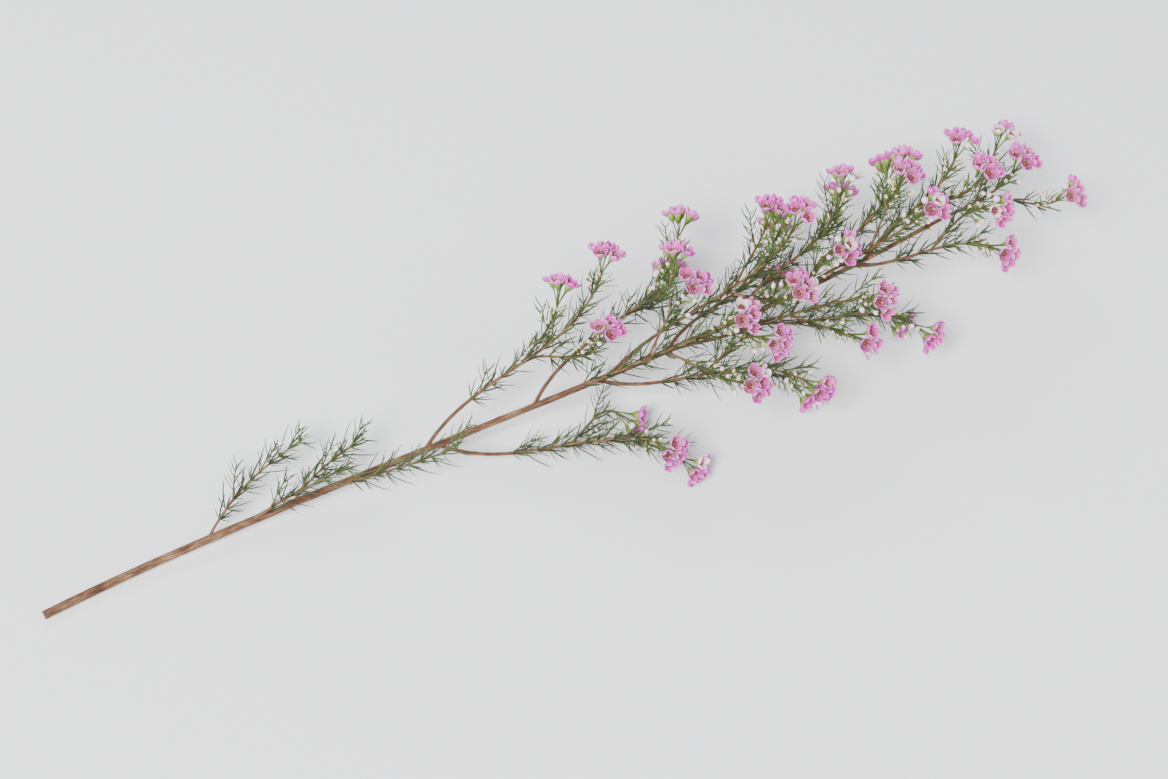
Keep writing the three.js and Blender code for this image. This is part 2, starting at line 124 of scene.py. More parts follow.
class Line:
    """A cubic curve between four corners, read by share of its length."""

    def __init__(self, *corners):
        self.corners = np.array(corners, float)
        self.ticks = np.linspace(0, 1, LINE_TICKS)
        steps = np.linalg.norm(np.diff(self.at(self.ticks), axis=0), axis=1)
        self.lengths = np.concatenate([[0], np.cumsum(steps)])
        self.length = self.lengths[-1]

    def at(self, t):
        t = np.asarray(t, float)[..., None]
        a, b, c, d = self.corners
        return (1 - t) ** 3 * a + 3 * (1 - t) ** 2 * t * b + 3 * (1 - t) * t**2 * c + t**3 * d

    def tick(self, share):
        return np.interp(np.asarray(share, float) * self.length, self.lengths, self.ticks)

    def point(self, share):
        return self.at(self.tick(share))

    def tangent(self, share):
        t, little = self.tick(share), 1e-4
        return unit(self.at(np.minimum(t + little, 1)) - self.at(np.maximum(t - little, 0)))


class Wood:
    """A tapering branch: its line, its radius at both ends, and its straight steps in the frame."""

    def __init__(self, line, root, tip, steps):
        self.line, self.root, self.tip, self.steps = line, root, tip, steps

    def drawn(self, share):
        """A point on the branch as the frame has it, on its straight steps."""
        along = share * self.steps
        step = min(math.floor(along), self.steps - 1)
        ends = self.line.point([step / self.steps, (step + 1) / self.steps])
        return mix(ends[0], ends[1], along - step)


third, low = STEM.length / 3, STEM_WOOD.root
stem = Wood(
    Line(
        (0, 0, low),
        (third, STEM.sway, low + STEM.lower_rise * STEM.rise),
        (2 * third, -STEM.sway, low + STEM.upper_rise * STEM.rise),
        (3 * third, STEM.end_sway * STEM.sway, low + STEM.rise),
    ),
    **STEM_WOOD,
)


def stem_corners():
    """The corners of the stem's solid in the frame, which say where its foot lies there."""
    rings = []
    angles = turns(STEM.sides)[:, None]
    for share in np.linspace(0, 1, stem.steps + 1):
        u, v = square_to(stem.line.tangent(share))
        radius = mix(stem.root, stem.tip, share)
        rings.append(stem.line.point(share) + radius * (np.sin(angles) * v + np.cos(angles) * u))
    return np.concatenate(rings)


SHIFT = np.array(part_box("main_stem")[0]) / MM - stem_corners().min(axis=0)


def quads_of(rows, columns, closed):
    """The faces of a grid of points, which closes across its columns where it is a tube."""
    index = np.arange(rows * columns).reshape(rows, columns)
    right = np.roll(index, -1, axis=1)
    last = columns if closed else columns - 1
    corners = [index[:-1, :last], right[:-1, :last], right[1:, :last], index[1:, :last]]
    return np.stack(corners, axis=-1).reshape(-1, 4)


def ringed(grid, **data):
    """A closed bar of rings of points. Data has a value for all of it, each ring or each point."""
    rows, sides = grid.shape[:2]
    for key, value in data.items():
        value = np.asarray(value, float)
        size = value.shape[2:]
        data[key] = np.broadcast_to(value, (rows, sides, *size)).reshape(-1, *size)
    start, end = range(sides - 1, -1, -1), range((rows - 1) * sides, rows * sides)
    quads = quads_of(rows, sides, True)
    return dict(data, points=grid.reshape(-1, 3), quads=quads, caps=[list(start), list(end)])


def tube(centres, radii, sides, first=UP, flat=1.0, **data):
    """A round bar through the centres. Data has one value, or one for each centre. Its grain is a
    place on the bar in millimetres: round it, and along it."""
    centres = np.asarray(centres, float)
    tangents = unit(np.gradient(centres, axis=0))
    u, across = np.asarray(first, float), []
    for tangent in tangents:
        u = unit(u - tangent * (u @ tangent))
        across.append(u)
    across = np.array(across)
    up = np.cross(tangents, across)
    angles, radii = turns(sides), np.reshape(radii, (len(centres), -1))
    side, rise = radii * np.cos(angles), radii * np.sin(angles) * flat
    points = centres[:, None] + side[..., None] * across[:, None] + rise[..., None] * up[:, None]
    along = np.concatenate([[0], np.cumsum(np.linalg.norm(np.diff(centres, axis=0), axis=1))])
    grain = np.stack([side, rise, np.repeat(along[:, None], sides, axis=1)], axis=-1)
    columns = {key: np.reshape(value, (-1, 1)) for key, value in data.items()}
    return ringed(points, grain=grain, **columns)


def add_piece(name, node, shapes, material):
    """Joins shapes, in millimetres from the stem's foot, into a piece that stands for a node."""
    start, faces = 0, []
    for shape in shapes:
        faces += (shape["quads"] + start).tolist()
        faces += [[corner + start for corner in cap] for cap in shape["caps"]]
        start += len(shape["points"])
    points = np.concatenate([shape["points"] for shape in shapes])
    mesh = bpy.data.meshes.new(name)
    mesh.from_pydata(((points + SHIFT) * MM).tolist(), [], faces)
    for key in [key for key in shapes[0] if key not in ("points", "quads", "caps")]:
        values = np.concatenate([shape[key] for shape in shapes])
        kind, field = ("FLOAT_VECTOR", "vector") if values.ndim == 2 else ("FLOAT", "value")
        mesh.attributes.new(key, kind, "POINT").data.foreach_set(field, values.ravel())
    mesh.shade_smooth()
    mesh.materials.append(material)
    piece = bpy.data.objects.new(name, mesh)
    bpy.context.collection.objects.link(piece)
    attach(piece, "root")
    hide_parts(node)


def colour(text):
    """An sRGB hex value as linear red, green, blue and alpha."""
    parts = [int(text[i : i + 2], 16) / 255 for i in (1, 3, 5)]
    return (*[c / 12.92 if c <= 0.04045 else ((c + 0.055) / 1.055) ** 2.4 for c in parts], 1)


def add_node(tree, kind, *values, ramp=None, **named):
    """Adds a shader node and gives its first output. Values fill its inputs in order. Of the named
    ones, those with a capital are inputs and the others its settings. A value is a number, a hex
    colour, the name of data on the mesh, or another node's output. Ramp holds colours by place."""
    node = tree.nodes.new("ShaderNode" + kind)
    for key in [key for key in named if key.islower()]:
        setattr(node, key, named.pop(key))
    for key, value in [*enumerate(values), *named.items()]:
        socket = node.inputs[key.replace("_", " ") if isinstance(key, str) else key]
        if isinstance(value, str) and value.startswith("#"):
            value = colour(value)
        elif isinstance(value, str):
            data = tree.nodes.new("ShaderNodeAttribute")
            data.attribute_name = value
            value = data.outputs["Vector" if socket.type == "VECTOR" else "Fac"]
        if isinstance(value, bpy.types.NodeSocket):
            tree.links.new(value, socket)
        else:
            socket.default_value = value
    if ramp:
        stops = node.color_ramp.elements
        while len(stops) < len(ramp):
            stops.new(1)
        for stop, (place, shade) in zip(stops, ramp.items()):
            stop.position, stop.color = place, colour(shade)
    return next(socket for socket in node.outputs if socket.enabled)


def new_material(build):
    """Turns a function that gives a surface into the material of its name."""
    material = bpy.data.materials.new(build.__name__)
    material.use_nodes = True
    tree = material.node_tree
    tree.nodes.clear()
    output = tree.nodes.new("ShaderNodeOutputMaterial")
    tree.links.new(build(partial(add_node, tree)), output.inputs["Surface"])
    return material


# Woody bark: matt and fibrous, split lengthwise into fibres 0.4 mm wide with cracks of 0.2 mm,
# reddish brown with tan patches of about 22 mm where it has weathered. Towards a young tip it turns
# to smooth olive green skin. The scales are these sizes as counts to the millimetre.
FIBRE = Named(per_mm=2.4, drawn_out=(1, 1, 0.045), relief=0.4 * MM)
CRACK = Named(per_mm=4.5, drawn_out=(1, 1, 0.028), relief=0.3 * MM)
PATCH_PER_MM = 0.045


@new_material
def woody_bark(add):
    stretched = add("Mapping", "grain", Scale=FIBRE.drawn_out)
    fibre = add("TexNoise", stretched, Scale=FIBRE.per_mm, Detail=6, Roughness=0.62)
    brown = {0.3: "#2a140c", 0.45: "#552e1b", 0.56: "#76462c", 0.7: "#a87e58"}
    bark = add("ValToRGB", fibre, ramp=brown)
    weathered = add("ValToRGB", fibre, ramp={0.32: "#432b1a", 0.5: "#84603f", 0.7: "#c7a379"})
    stretched = add("Mapping", "grain", Scale=CRACK.drawn_out)
    split = add("TexNoise", stretched, Scale=CRACK.per_mm, Detail=3, Roughness=0.5)
    crack = add("MapRange", split, From_Min=0.4, From_Max=0.47, To_Min=0.75, To_Max=0)
    patch = add("TexNoise", "grain", Scale=PATCH_PER_MM, Detail=2)
    worn = add("MapRange", patch, From_Min=0.38, From_Max=0.58)
    aged = add("Mix", Factor=worn, A=bark, B=weathered, data_type="RGBA")
    cracked = add("Mix", Factor=crack, A=aged, B="#24120b", data_type="RGBA")
    skin = add("ValToRGB", fibre, ramp={0.3: "#313c14", 0.55: "#505c20", 0.75: "#7e7a3c"})
    edge = add("MapRange", "young", From_Min=0.55, From_Max=1.05)
    shade = add("Mix", Factor=edge, A=cracked, B=skin, data_type="RGBA")
    groove = add("Bump", Height=crack, Distance=CRACK.relief, Strength=0.8, invert=True)
    relief = add("Bump", Height=fibre, Distance=FIBRE.relief, Strength=1.0, Normal=groove)
    return add("BsdfPrincipled", shade, Roughness=0.72, Normal=relief)


# Fresh cut wood: pale cream, with a darker pith and faint rings, slightly torn by the blades into
# tufts of fibre 0.3 mm across.
TORN = Named(per_mm=3.5, ring_wobble=0.16, relief=0.15 * MM)


@new_material
def cut_wood(add):
    torn = add("TexNoise", "grain", Scale=TORN.per_mm, Detail=4)
    wobble = add("Math", torn, TORN.ring_wobble, operation="MULTIPLY")
    place = add("Math", "reach", wobble, operation="ADD")
    rings = {0.08: "#8a6a48", 0.2: "#d9c49a", 0.5: "#e4d3ae", 0.62: "#cdb488"}
    shade = add("ValToRGB", place, ramp=rings | {0.85: "#d8c79a", 1: "#7a5540"})
    relief = add("Bump", Height=torn, Distance=TORN.relief, Strength=0.6)
    return add("BsdfPrincipled", shade, Roughness=0.8, Normal=relief)


def stem_shape():
    """The stem with its ridges, which wander as they climb, and its scarred knuckles."""
    length, shares = stem.line.length, np.linspace(0, 1, round(stem.line.length / STEM_LOOK.row))
    along, angles = shares[:, None] * length, turns(STEM_LOOK.sides)
    wander = waves(RIDGE_WANDER, 0, along)
    ridges = np.cos(STEM_LOOK.ridges * (angles + wander)) * STEM_LOOK.ridge
    ridges += waves(STEM_SWELLING, angles, along)
    knuckles = np.zeros_like(ridges)
    for n in range(1, int(length / SCAR.every)):
        height = n * SCAR.every + SCAR.uneven * vary(n, "scar")
        near = np.exp(-(((along - height) / SCAR.length) ** 2))
        pair = np.maximum(0, np.cos(2 * (angles - n * math.pi / 4))) ** SCAR.sharpness
        taper = mix(1, SCAR.at_tip, height / length)
        knuckles += SCAR.height * near * (SCAR.all_round + pair) * taper
    radii = mix(stem.root, stem.tip, shares)[:, None] * (STEM_LOOK.girth + ridges) + knuckles
    young = STEM_LOOK.young * shares**2
    return tube(stem.line.point(shares), radii, STEM_LOOK.sides, young=young)


def cut_face():
    """A short plug in the lower end of the stem, with a shallow dish for its face."""
    start, onwards = stem.line.point(0), stem.line.tangent(0)
    shares = np.append(np.linspace(CUT_FACE.middle, 1, CUT_FACE.rings), 1)[:, None]
    depths = CUT_FACE.dish * np.sqrt(1 - shares) - CUT_FACE.proud
    depths[-1] = CUT_FACE.plug
    grain = polar(stem.root * CUT_FACE.girth * shares, turns(STEM_LOOK.sides), 0)
    points = start + onwards * depths[..., None] + grain @ [*square_to(onwards), onwards]
    return ringed(points, grain=grain, reach=shares)


add_piece("main_stem_bark", "main_stem", [stem_shape()], woody_bark)
add_piece("cut_face", "main_stem", [cut_face()], cut_wood)

# --------------------------------------------------------------------------------------------------
# Side sprays, twigs and leafy shoots. Thinner wood of the same growth, which leaves its parent on a
# swollen collar, brown and barky there and green and smooth at its tip. Sprays leave the stem in
# opposite pairs and fork into twigs, and each tip carries a head of six flowers, one often late.

# The lines, places and directions are those of the frame's nodes, from the same named values.
SPRAY_WOOD = Named(root=1.45, tip=0.85, steps=5)
TWIG_WOOD = Named(root=0.95, tip=0.8, steps=2)
SHOOT_WOOD = Named(root=1, tip=0.6, steps=4)
SPRAYS = Named(pairs=7, first_at=0.42, last_at=0.91, stagger=0.014, crowding=0.85, longest=154)
SPRAYS |= dict(shortest=82, uneven=0.09, onwards=0.86, outwards=0.45, leaving=44)
SPRAYS |= dict(fan_from=-34, fan_width=248, fan_start=0.37, two_twigs_until=0.55)
LEADER = Named(length=72, outwards=0.12, twigs=2, share=1, at=1)
LEADER_GAP = 0.3
TWIG = Named(longest=47, shortest=40, uneven=0.12, first_at=0.55, next_at=0.06, leaving=42)
TWIG |= dict(reaching=38, facing=30, lift=5)
SHOOTS = Named(count=4, first_at=0.18, last_at=0.32, length=72, uneven=0.2, fan_from=35)
SHOOTS |= dict(fan_width=110, leaving=40, reaching=24, arriving=12)
HEAD = Named(ring=5, spread=28, raised=0.9, petals_apart=9, spacing=27, middle=13, rounds=80)
HEAD |= dict(uneven_turn=2, uneven_spread=0.4, uneven_height=0.1)
FACING = Named(onwards=0.55, outwards=0.6, least_rise=0.1)
STALK = Named(length=9, radius=0.45, sunk=1, ring_foot=4.2, next_foot=3, uneven_foot=0.5)
CALYX = Named(length=5, top=2.3, dish=0.9)
FLOWER = Named(radius=4.8, cup=3.6, lip=0.9, seat=0.35, petals=5)
BEND = 0.38
LOWEST = Named(wood=2, head=9, softness=8)
GOLDEN = 0.618034
PETALS_FROM = STALK.length + CALYX.length - CALYX.dish + FLOWER.seat
LEADER_NUMBER = 2 * SPRAYS.pairs
DRAW |= dict(spray_length=1, twig_length=4, twig_place=7, twig_lift=9, shoot_length=11)
DRAW |= dict(flower_turn=30, flower_spread=40, flower_height=50, stalk_foot=60, late=70)


def lean(start, towards, degrees):
    """A direction that leans from one unit vector towards a perpendicular one."""
    angle = math.radians(degrees)
    return unit(start * math.cos(angle) + towards * math.sin(angle))


def settle(point, clearance):
    """Lifts a point softly, so that nothing dips under the surface that the stem lies on."""
    height = point[2] - clearance
    lifted = clearance + 0.5 * (height + math.hypot(height, LOWEST.softness))
    return np.array([point[0], point[1], lifted])


def branch_line(root, leave, tip, arrive):
    reach = BEND * np.linalg.norm(tip - root)
    first = settle(root + leave * reach, LOWEST.wood)
    return Line(root, first, settle(tip - arrive * reach, LOWEST.wood), tip)


def facing(onwards, away):
    outwards = unit(np.array([0, away[1], max(away[2], FACING.least_rise)]))
    return unit(onwards * FACING.onwards + outwards * FACING.outwards)


def fan_direction(fan, turn):
    """A direction in the fan round the stem, square to the stem's run."""
    angle = math.radians(fan.fan_from + fan.fan_width * (turn % 1))
    return np.array([0, math.cos(angle), math.sin(angle)])


def spray_plan(b):
    """The foot, directions and length of a side spray. The last, the leader, goes straight on."""
    if b == LEADER_NUMBER:
        onwards = stem.line.tangent(1)
        foot = stem.drawn(1) + onwards * LEADER_GAP
        return Named(LEADER, foot=foot, onwards=onwards, away=UP, leave=onwards)
    share = b // 2 / (SPRAYS.pairs - 1)
    at = mix(SPRAYS.first_at, SPRAYS.last_at, share ** SPRAYS.crowding)
    at += SPRAYS.stagger * (b % 2)
    onwards, away = stem.line.tangent(at), fan_direction(SPRAYS, GOLDEN * b + SPRAYS.fan_start)
    length = mix(SPRAYS.longest, SPRAYS.shortest, share)
    length *= 1 + SPRAYS.uneven * vary(b, "spray_length")
    plan = Named(foot=stem.drawn(at), onwards=onwards, away=away, length=length, share=share, at=at)
    twigs = 2 if share < SPRAYS.two_twigs_until else 1
    leave = lean(onwards, away, SPRAYS.leaving)
    return Named(plan, leave=leave, outwards=SPRAYS.outwards, twigs=twigs)


def lay_out_branch(plan, place):
    free = plan.foot + plan.onwards * plan.length * SPRAYS.onwards
    free = free + plan.away * plan.length * plan.outwards
    base = settle(free, LOWEST.head) if place is None else place
    heading = unit(plan.onwards * SPRAYS.onwards + plan.away * SPRAYS.outwards)
    axis = facing(heading, plan.away)
    wood = Wood(branch_line(plan.foot, plan.leave, base, axis), **SPRAY_WOOD)
    return Named(base=base, axis=axis, wood=wood, at=plan.at, parent=stem)


def lay_out_twig(b, k, plan, branch, place):
    at = TWIG.first_at + TWIG.next_at * (k + vary(b, "twig_place", k))
    root, onwards = branch.drawn(at), branch.line.tangent(at)
    across = unit(np.cross(onwards, plan.away)) * (1 if (b + k) % 2 else -1)
    length = mix(TWIG.longest, TWIG.shortest, plan.share)
    length *= 1 + TWIG.uneven * vary(b, "twig_length", k)
    free = root + lean(onwards, across, TWIG.reaching) * length
    free = free + plan.away * TWIG.lift * vary(b, "twig_lift", k)
    base = settle(free, LOWEST.head) if place is None else place
    axis = facing(lean(onwards, across, TWIG.facing), plan.away)
    wood = Wood(branch_line(root, lean(onwards, across, TWIG.leaving), base, axis), **TWIG_WOOD)
    return Named(base=base, axis=axis, wood=wood, at=at, parent=branch)


def lay_out_sprays(places):
    sprays, number = [], 0
    for b in range(LEADER_NUMBER + 1):
        plan = spray_plan(b)
        heads = [lay_out_branch(plan, places.get(number))]
        for k in range(plan.twigs):
            place = places.get(number + 1 + k)
            heads.append(lay_out_twig(b, k, plan, heads[0].wood, place))
        number += len(heads)
        sprays.append(heads)
    return sprays


def flowers_of(head, number):
    """Where each flower and its inward petal point, its height, its stalk's foot, and whether it is
    open. A late one is still a bud."""
    axis, ring = head.axis, HEAD.ring
    u, v = square_to(axis)
    inwards = lean(u, v, 180 / ring + HEAD.petals_apart)
    flowers = [Named(way=axis, inwards=inwards, rise=HEAD.raised, down=STALK.sunk, open=True)]
    late = number % ring if vary(number, "late") > 0 else None
    for i in range(ring):
        turn = 360 * (i + 0.5) / ring + HEAD.uneven_turn * vary(number, "flower_turn", i)
        outwards = lean(u, v, turn)
        tilt = HEAD.spread + HEAD.uneven_spread * vary(number, "flower_spread", i)
        rise = HEAD.uneven_height * vary(number, "flower_height", i)
        down = STALK.ring_foot + STALK.next_foot * (i % 2)
        down += STALK.uneven_foot * vary(number, "stalk_foot", i)
        flower = dict(way=lean(axis, outwards, tilt), inwards=lean(-outwards, axis, tilt))
        flowers.append(Named(flower, rise=rise, down=down, open=i != late))
    return flowers


def hang(head, number):
    """How far the lowest petal tip of a head lies below the head's foot."""
    lowest = 0
    for flower in flowers_of(head, number):
        if not flower.open:
            continue
        way, inwards = flower.way, flower.inwards
        across = np.cross(way, inwards)
        for k in range(FLOWER.petals):
            out = lean(inwards, across, 360 * k / FLOWER.petals)
            tip = (PETALS_FROM + FLOWER.cup + flower.rise) * way[2] + FLOWER.radius * out[2]
            lowest = min(lowest, tip, tip + FLOWER.lip * way[2])
    return -lowest


def settled_places(heads):
    """Heads push each other apart until each has its own room, and stay above the surface."""
    bases = [head.base.copy() for head in heads]
    lowest = [hang(head, number) for number, head in enumerate(heads)]
    middles = [HEAD.middle * head.axis for head in heads]
    for _ in range(HEAD.rounds):
        for i in range(len(bases)):
            for j in range(i + 1, len(bases)):
                apart = bases[j] + middles[j] - bases[i] - middles[i]
                length = math.sqrt(apart @ apart)
                if length < HEAD.spacing:
                    apart *= 0.5 * (HEAD.spacing - length) / length
                    bases[i] = bases[i] - apart
                    bases[j] = bases[j] + apart
        for base, low in zip(bases, lowest):
            base[2] = max(base[2], low)
    return dict(enumerate(bases))


free_sprays = lay_out_sprays({})
sprays = lay_out_sprays(settled_places([head for heads in free_sprays for head in heads]))
heads = [head for spray in sprays for head in spray]
for number, head in enumerate(heads):
    flowers = flowers_of(head, number)
    for i, flower in enumerate(flowers):
        flower.update(item=number * len(flowers) + i, is_middle=i == 0)
    head.update(number=number, flowers=flowers, open=[flower for flower in flowers if flower.open])


def lay_out_shoot(s):
    at = mix(SHOOTS.first_at, SHOOTS.last_at, s / (SHOOTS.count - 1))
    root, onwards, away = stem.drawn(at), stem.line.tangent(at), fan_direction(SHOOTS, GOLDEN * s)
    length = SHOOTS.length * (1 + SHOOTS.uneven * vary(s, "shoot_length"))
    tip = root + lean(onwards, away, SHOOTS.reaching) * length
    leave, arrive = [lean(onwards, away, SHOOTS[key]) for key in ("leaving", "arriving")]
    return Named(wood=Wood(branch_line(root, leave, tip, arrive), **SHOOT_WOOD), at=at, parent=stem)


shoots = [lay_out_shoot(s) for s in range(SHOOTS.count)]

BRANCH_LOOK = Named(sides=10, row=3.0, least_rows=8, girth=0.82, foot_drawn=0.7, end=0.6)
BRANCH_LOOK |= dict(collar=0.45, collar_length=2.2, joint=0.14, joint_length=0.8)
BRANCH_SWELLING = [(0.04, 4, 60, math.pi / 2)]
BRANCH_RIPPLE = (0.02, 0, 3)
LEAF_SPACING = 7.2
SHOOT_SKIN = Named(near_tip=3, youngest=1.0, oldest=0.25)
SPRAY_SKIN = Named(near_tip=9, youngest=0.9)
TWIG_SKIN = Named(near_tip=9, youngest=0.95, oldest=0.55)
OLDEST = Named(first_spray=0.1, last_spray=0.35, leader=0.5)


def grown_line(branch):
    """The branch's line with its foot moved onto the smooth line of what it grows from."""
    corners = branch.wood.line.corners.copy()
    move = branch.parent.smooth.point(branch.at) - corners[0]
    corners[0] += move
    corners[1] += BRANCH_LOOK.foot_drawn * move
    return Line(*corners)


def branch_shape(wood, number, near_tip, youngest, oldest):
    """A branch with its collar, and with a slight knuckle under each pair of needles."""
    line, look = wood.smooth, BRANCH_LOOK
    shares = np.linspace(0, 1, max(look.least_rows, round(line.length / look.row) * 2))
    along, angles = shares[:, None] * line.length, turns(look.sides)
    collar = 1 + look.collar * np.exp(-((along / look.collar_length) ** 2))
    swelling = 1 + waves([*BRANCH_SWELLING, (*BRANCH_RIPPLE, number)], angles, along)
    radii = mix(wood.root, wood.tip, shares)[:, None] * look.girth * collar * swelling
    joints = np.arange(near_tip, line.length, LEAF_SPACING)
    bumps = np.exp(-(((line.length - along - joints) / look.joint_length) ** 2))
    radii += look.joint * bumps.sum(axis=1)[:, None]
    radii[-1] *= look.end
    return tube(line.point(shares), radii, look.sides, young=mix(oldest, youngest, shares))


def shoot_node(s):
    return f"leafy_shoot_{s + 1:02d}"


def spray_node(b):
    return "leader_spray" if b == LEADER_NUMBER else f"side_spray_{b + 1:02d}"


stem.smooth = stem.line
for branch in [*shoots, *heads]:
    branch.wood.smooth = grown_line(branch)

for s, shoot in enumerate(shoots):
    shape = branch_shape(shoot.wood, s, **SHOOT_SKIN)
    add_piece(f"{shoot_node(s)}_wood", shoot_node(s), [shape], woody_bark)

for b, spray in enumerate(sprays):
    oldest = mix(OLDEST.first_spray, OLDEST.last_spray, b / LEADER_NUMBER)
    oldest = OLDEST.leader if b == LEADER_NUMBER else oldest
    parts = [branch_shape(spray[0].wood, b, oldest=oldest, **SPRAY_SKIN)]
    parts += [branch_shape(head.wood, head.number, **TWIG_SKIN) for head in spray[1:]]
    add_piece(f"{spray_node(b)}_wood", spray_node(b), parts, woody_bark)

# --------------------------------------------------------------------------------------------------
# Needles. The leaves of a waxflower: opposite pairs, each a quarter turn from the last, narrow and
# leathery, ending in a small hook. In the angle above most of them stands a tuft of shorter young
# needles or a short leafy side shoot. They stay clear of the flowers.

# Each thing that grows has an item number for its draws: sprays from 0, twigs from 100, shoots from
# 200, the second leaf of a pair 50 on, and tufts and side shoots further on from their leaf.
ITEM = Named(twig=100, shoot=200, second=50, tuft=1000, next_young=60, side_shoot=2000)
ITEM |= dict(leaf_shade=3, leaf_girth=5, leaf_sway=7)
LEAF = Named(length=18, uneven=0.22, radius=0.58, spreading=38, top_pair=0.6, first_turn=45)
LEAF |= dict(uneven_turn=8, gap=0.4)
SPRAY_LEAVES = Named(start=0.26, near_tip=9, keep_every=7)
TWIG_LEAVES = Named(start=0.2, near_tip=9, keep_every=5)
SHOOT_LEAVES = Named(start=0.15, near_tip=3, keep_every=2)
NEEDLE = Named(radius=0.59, room=0.46, flat=0.62, sides=4, hook=0.5, gap=0.2, young_gap=0.05)
NEEDLE |= dict(bow=1.1, bow_mean=0.45, bow_uneven=0.75, sway=0.5, girth_uneven=0.12)
NEEDLE |= dict(fresh_pairs=2.5, fresh_slim=2.4)
TUFT = Named(chance=0.8, count=4, out_by=40, foot=0.8, length=9.5, uneven=0.3, spreading=30)
TUFT |= dict(free_from=0.45, slim=0.82, turn_each=30, draws=7)
SIDE_SHOOT = Named(every=3, first=1, out_by=42, uneven_out=8, round_by=42, length=19, uneven=0.3)
SIDE_SHOOT |= dict(root=0.62, tip=0.42, steps=3, onwards=0.5, lowest=4)
SIDE_SHOOT_ROOM = Named(free=0.5, free_from=0.3, filled_from=0.1)
SIDE_SHOOT_SKIN = Named(near_tip=1, youngest=1.1, oldest=0.8)
SIDE_SHOOT_LEAVES = Named(start=0.15, near_tip=0.8, keep_every=1000, spacing=3.9, size=0.62)
NEEDLE_ROWS = np.array([0, 0.07, 0.2, 0.38, 0.58, 0.76, 0.9, 1.0])
NEEDLE_GIRTH = np.array([0.5, 0.62, 0.95, 1.0, 0.95, 0.78, 0.5, 0.1])
STEM_OWNER, SHOOT_OWNER, SPRAY_OWNER, CUP_OWNER, NO_OWNER = 0, 1, 10, 100, -1
DRAW |= dict(leaf_turn=100, leaf_length=200, needle=400, tuft=800, tuft_turn=820)
DRAW |= dict(tuft_length=840, tuft_spread=860, shoot_lean=900, shoot_reach=920)


def luck(item, series, step=0):
    """The same draw as vary, between 0 and 1."""
    return 0.5 + 0.5 * vary(item, series, step)


class Room:
    """What is already filled, as round bars, so that new needles and buds stay clear of it."""

    def __init__(self, most):
        self.start, self.run = np.zeros((most, 3)), np.zeros((most, 3))
        self.radius, self.owner, self.count = np.zeros(most), np.zeros(most, int), 0

    def fill(self, owner, a, b, radius):
        i = self.count
        self.start[i], self.run[i], self.radius[i], self.owner[i] = a, b - a, radius, owner
        self.count += 1

    def is_clear(self, owner, a, b, radius, gap):
        """Whether a bar from a to b keeps the gap to every bar that isn't its owner's."""
        n, tiny = self.count, 1e-9
        p, q, r = b - a, self.run[:n], a - self.start[:n]
        pp, qq, pq, pr, qr = p @ p, (q * q).sum(axis=1), q @ p, r @ p, (q * r).sum(axis=1)
        square = pp * qq - pq * pq
        s = np.where(square > tiny, (pq * qr - pr * qq) / np.maximum(square, tiny), -pr / pp)
        s = np.clip(s, 0, 1)
        t = np.clip(np.where(qq > 0, (pq * s + qr) / np.maximum(qq, tiny), 0), 0, 1)
        s = np.clip((pq * t - pr) / pp, 0, 1)
        apart = np.linalg.norm(r + s[:, None] * p - t[:, None] * q, axis=1)
        return bool(np.all((self.owner[:n] == owner) | (apart > radius + self.radius[:n] + gap)))


room = Room(most=16000)


def fill_wood(owner, wood):
    ends = wood.line.point(np.linspace(0, 1, wood.steps + 1))
    for i in range(wood.steps):
        room.fill(owner, ends[i], ends[i + 1], mix(wood.root, wood.tip, i / wood.steps))


fill_wood(STEM_OWNER, stem)
for s, shoot in enumerate(shoots):
    fill_wood(SHOOT_OWNER + s, shoot.wood)
for b, spray in enumerate(sprays):
    for head in spray:
        fill_wood(SPRAY_OWNER + b, head.wood)
        for flower in head.flowers:
            way, rise = flower.way, flower.rise
            neck = head.base + way * (STALK.length + rise)
            cup = head.base + way * (PETALS_FROM + FLOWER.cup + rise)
            room.fill(SPRAY_OWNER + b, head.base, neck, STALK.radius)
            room.fill(SPRAY_OWNER + b, neck, neck + way * CALYX.length, CALYX.top)
            if flower.open:
                room.fill(CUP_OWNER + head.number, cup, cup, FLOWER.radius)


def above_surface(tip, lowest=2 * LEAF.radius):
    return np.array([tip[0], tip[1], max(tip[2], lowest)])


def leaf_pairs(wood, item, start, near_tip, keep_every, spacing=LEAF_SPACING, size=1.0):
    """Every leaf of a branch, counted in pairs from its tip. The first of every few also stands as
    a solid in the frame."""
    leaves, total, n = [], wood.line.length, 0
    while near_tip + n * spacing < total * (1 - start):
        at = 1 - (near_tip + n * spacing) / total
        foot, onwards, seat = wood.drawn(at), wood.line.tangent(at), wood.smooth.point(at)
        u, v = square_to(onwards)
        turn = LEAF.first_turn + 90 * (n % 2) + LEAF.uneven_turn * vary(item, "leaf_turn", n)
        for second in (0, 1):
            number = item + second * ITEM.second
            length = size * LEAF.length * (1 + LEAF.uneven * vary(number, "leaf_length", n))
            length *= LEAF.top_pair if n == 0 else 1
            out = lean(u, v, turn + 180 * second)
            tip = above_surface(foot + lean(onwards, out, LEAF.spreading) * length)
            leaf = dict(n=n, second=second, item=number, solid=n % keep_every == 0)
            leaves.append(Named(leaf, foot=foot, tip=tip, seat=seat, out=out, onwards=onwards))
        n += 1
    return leaves


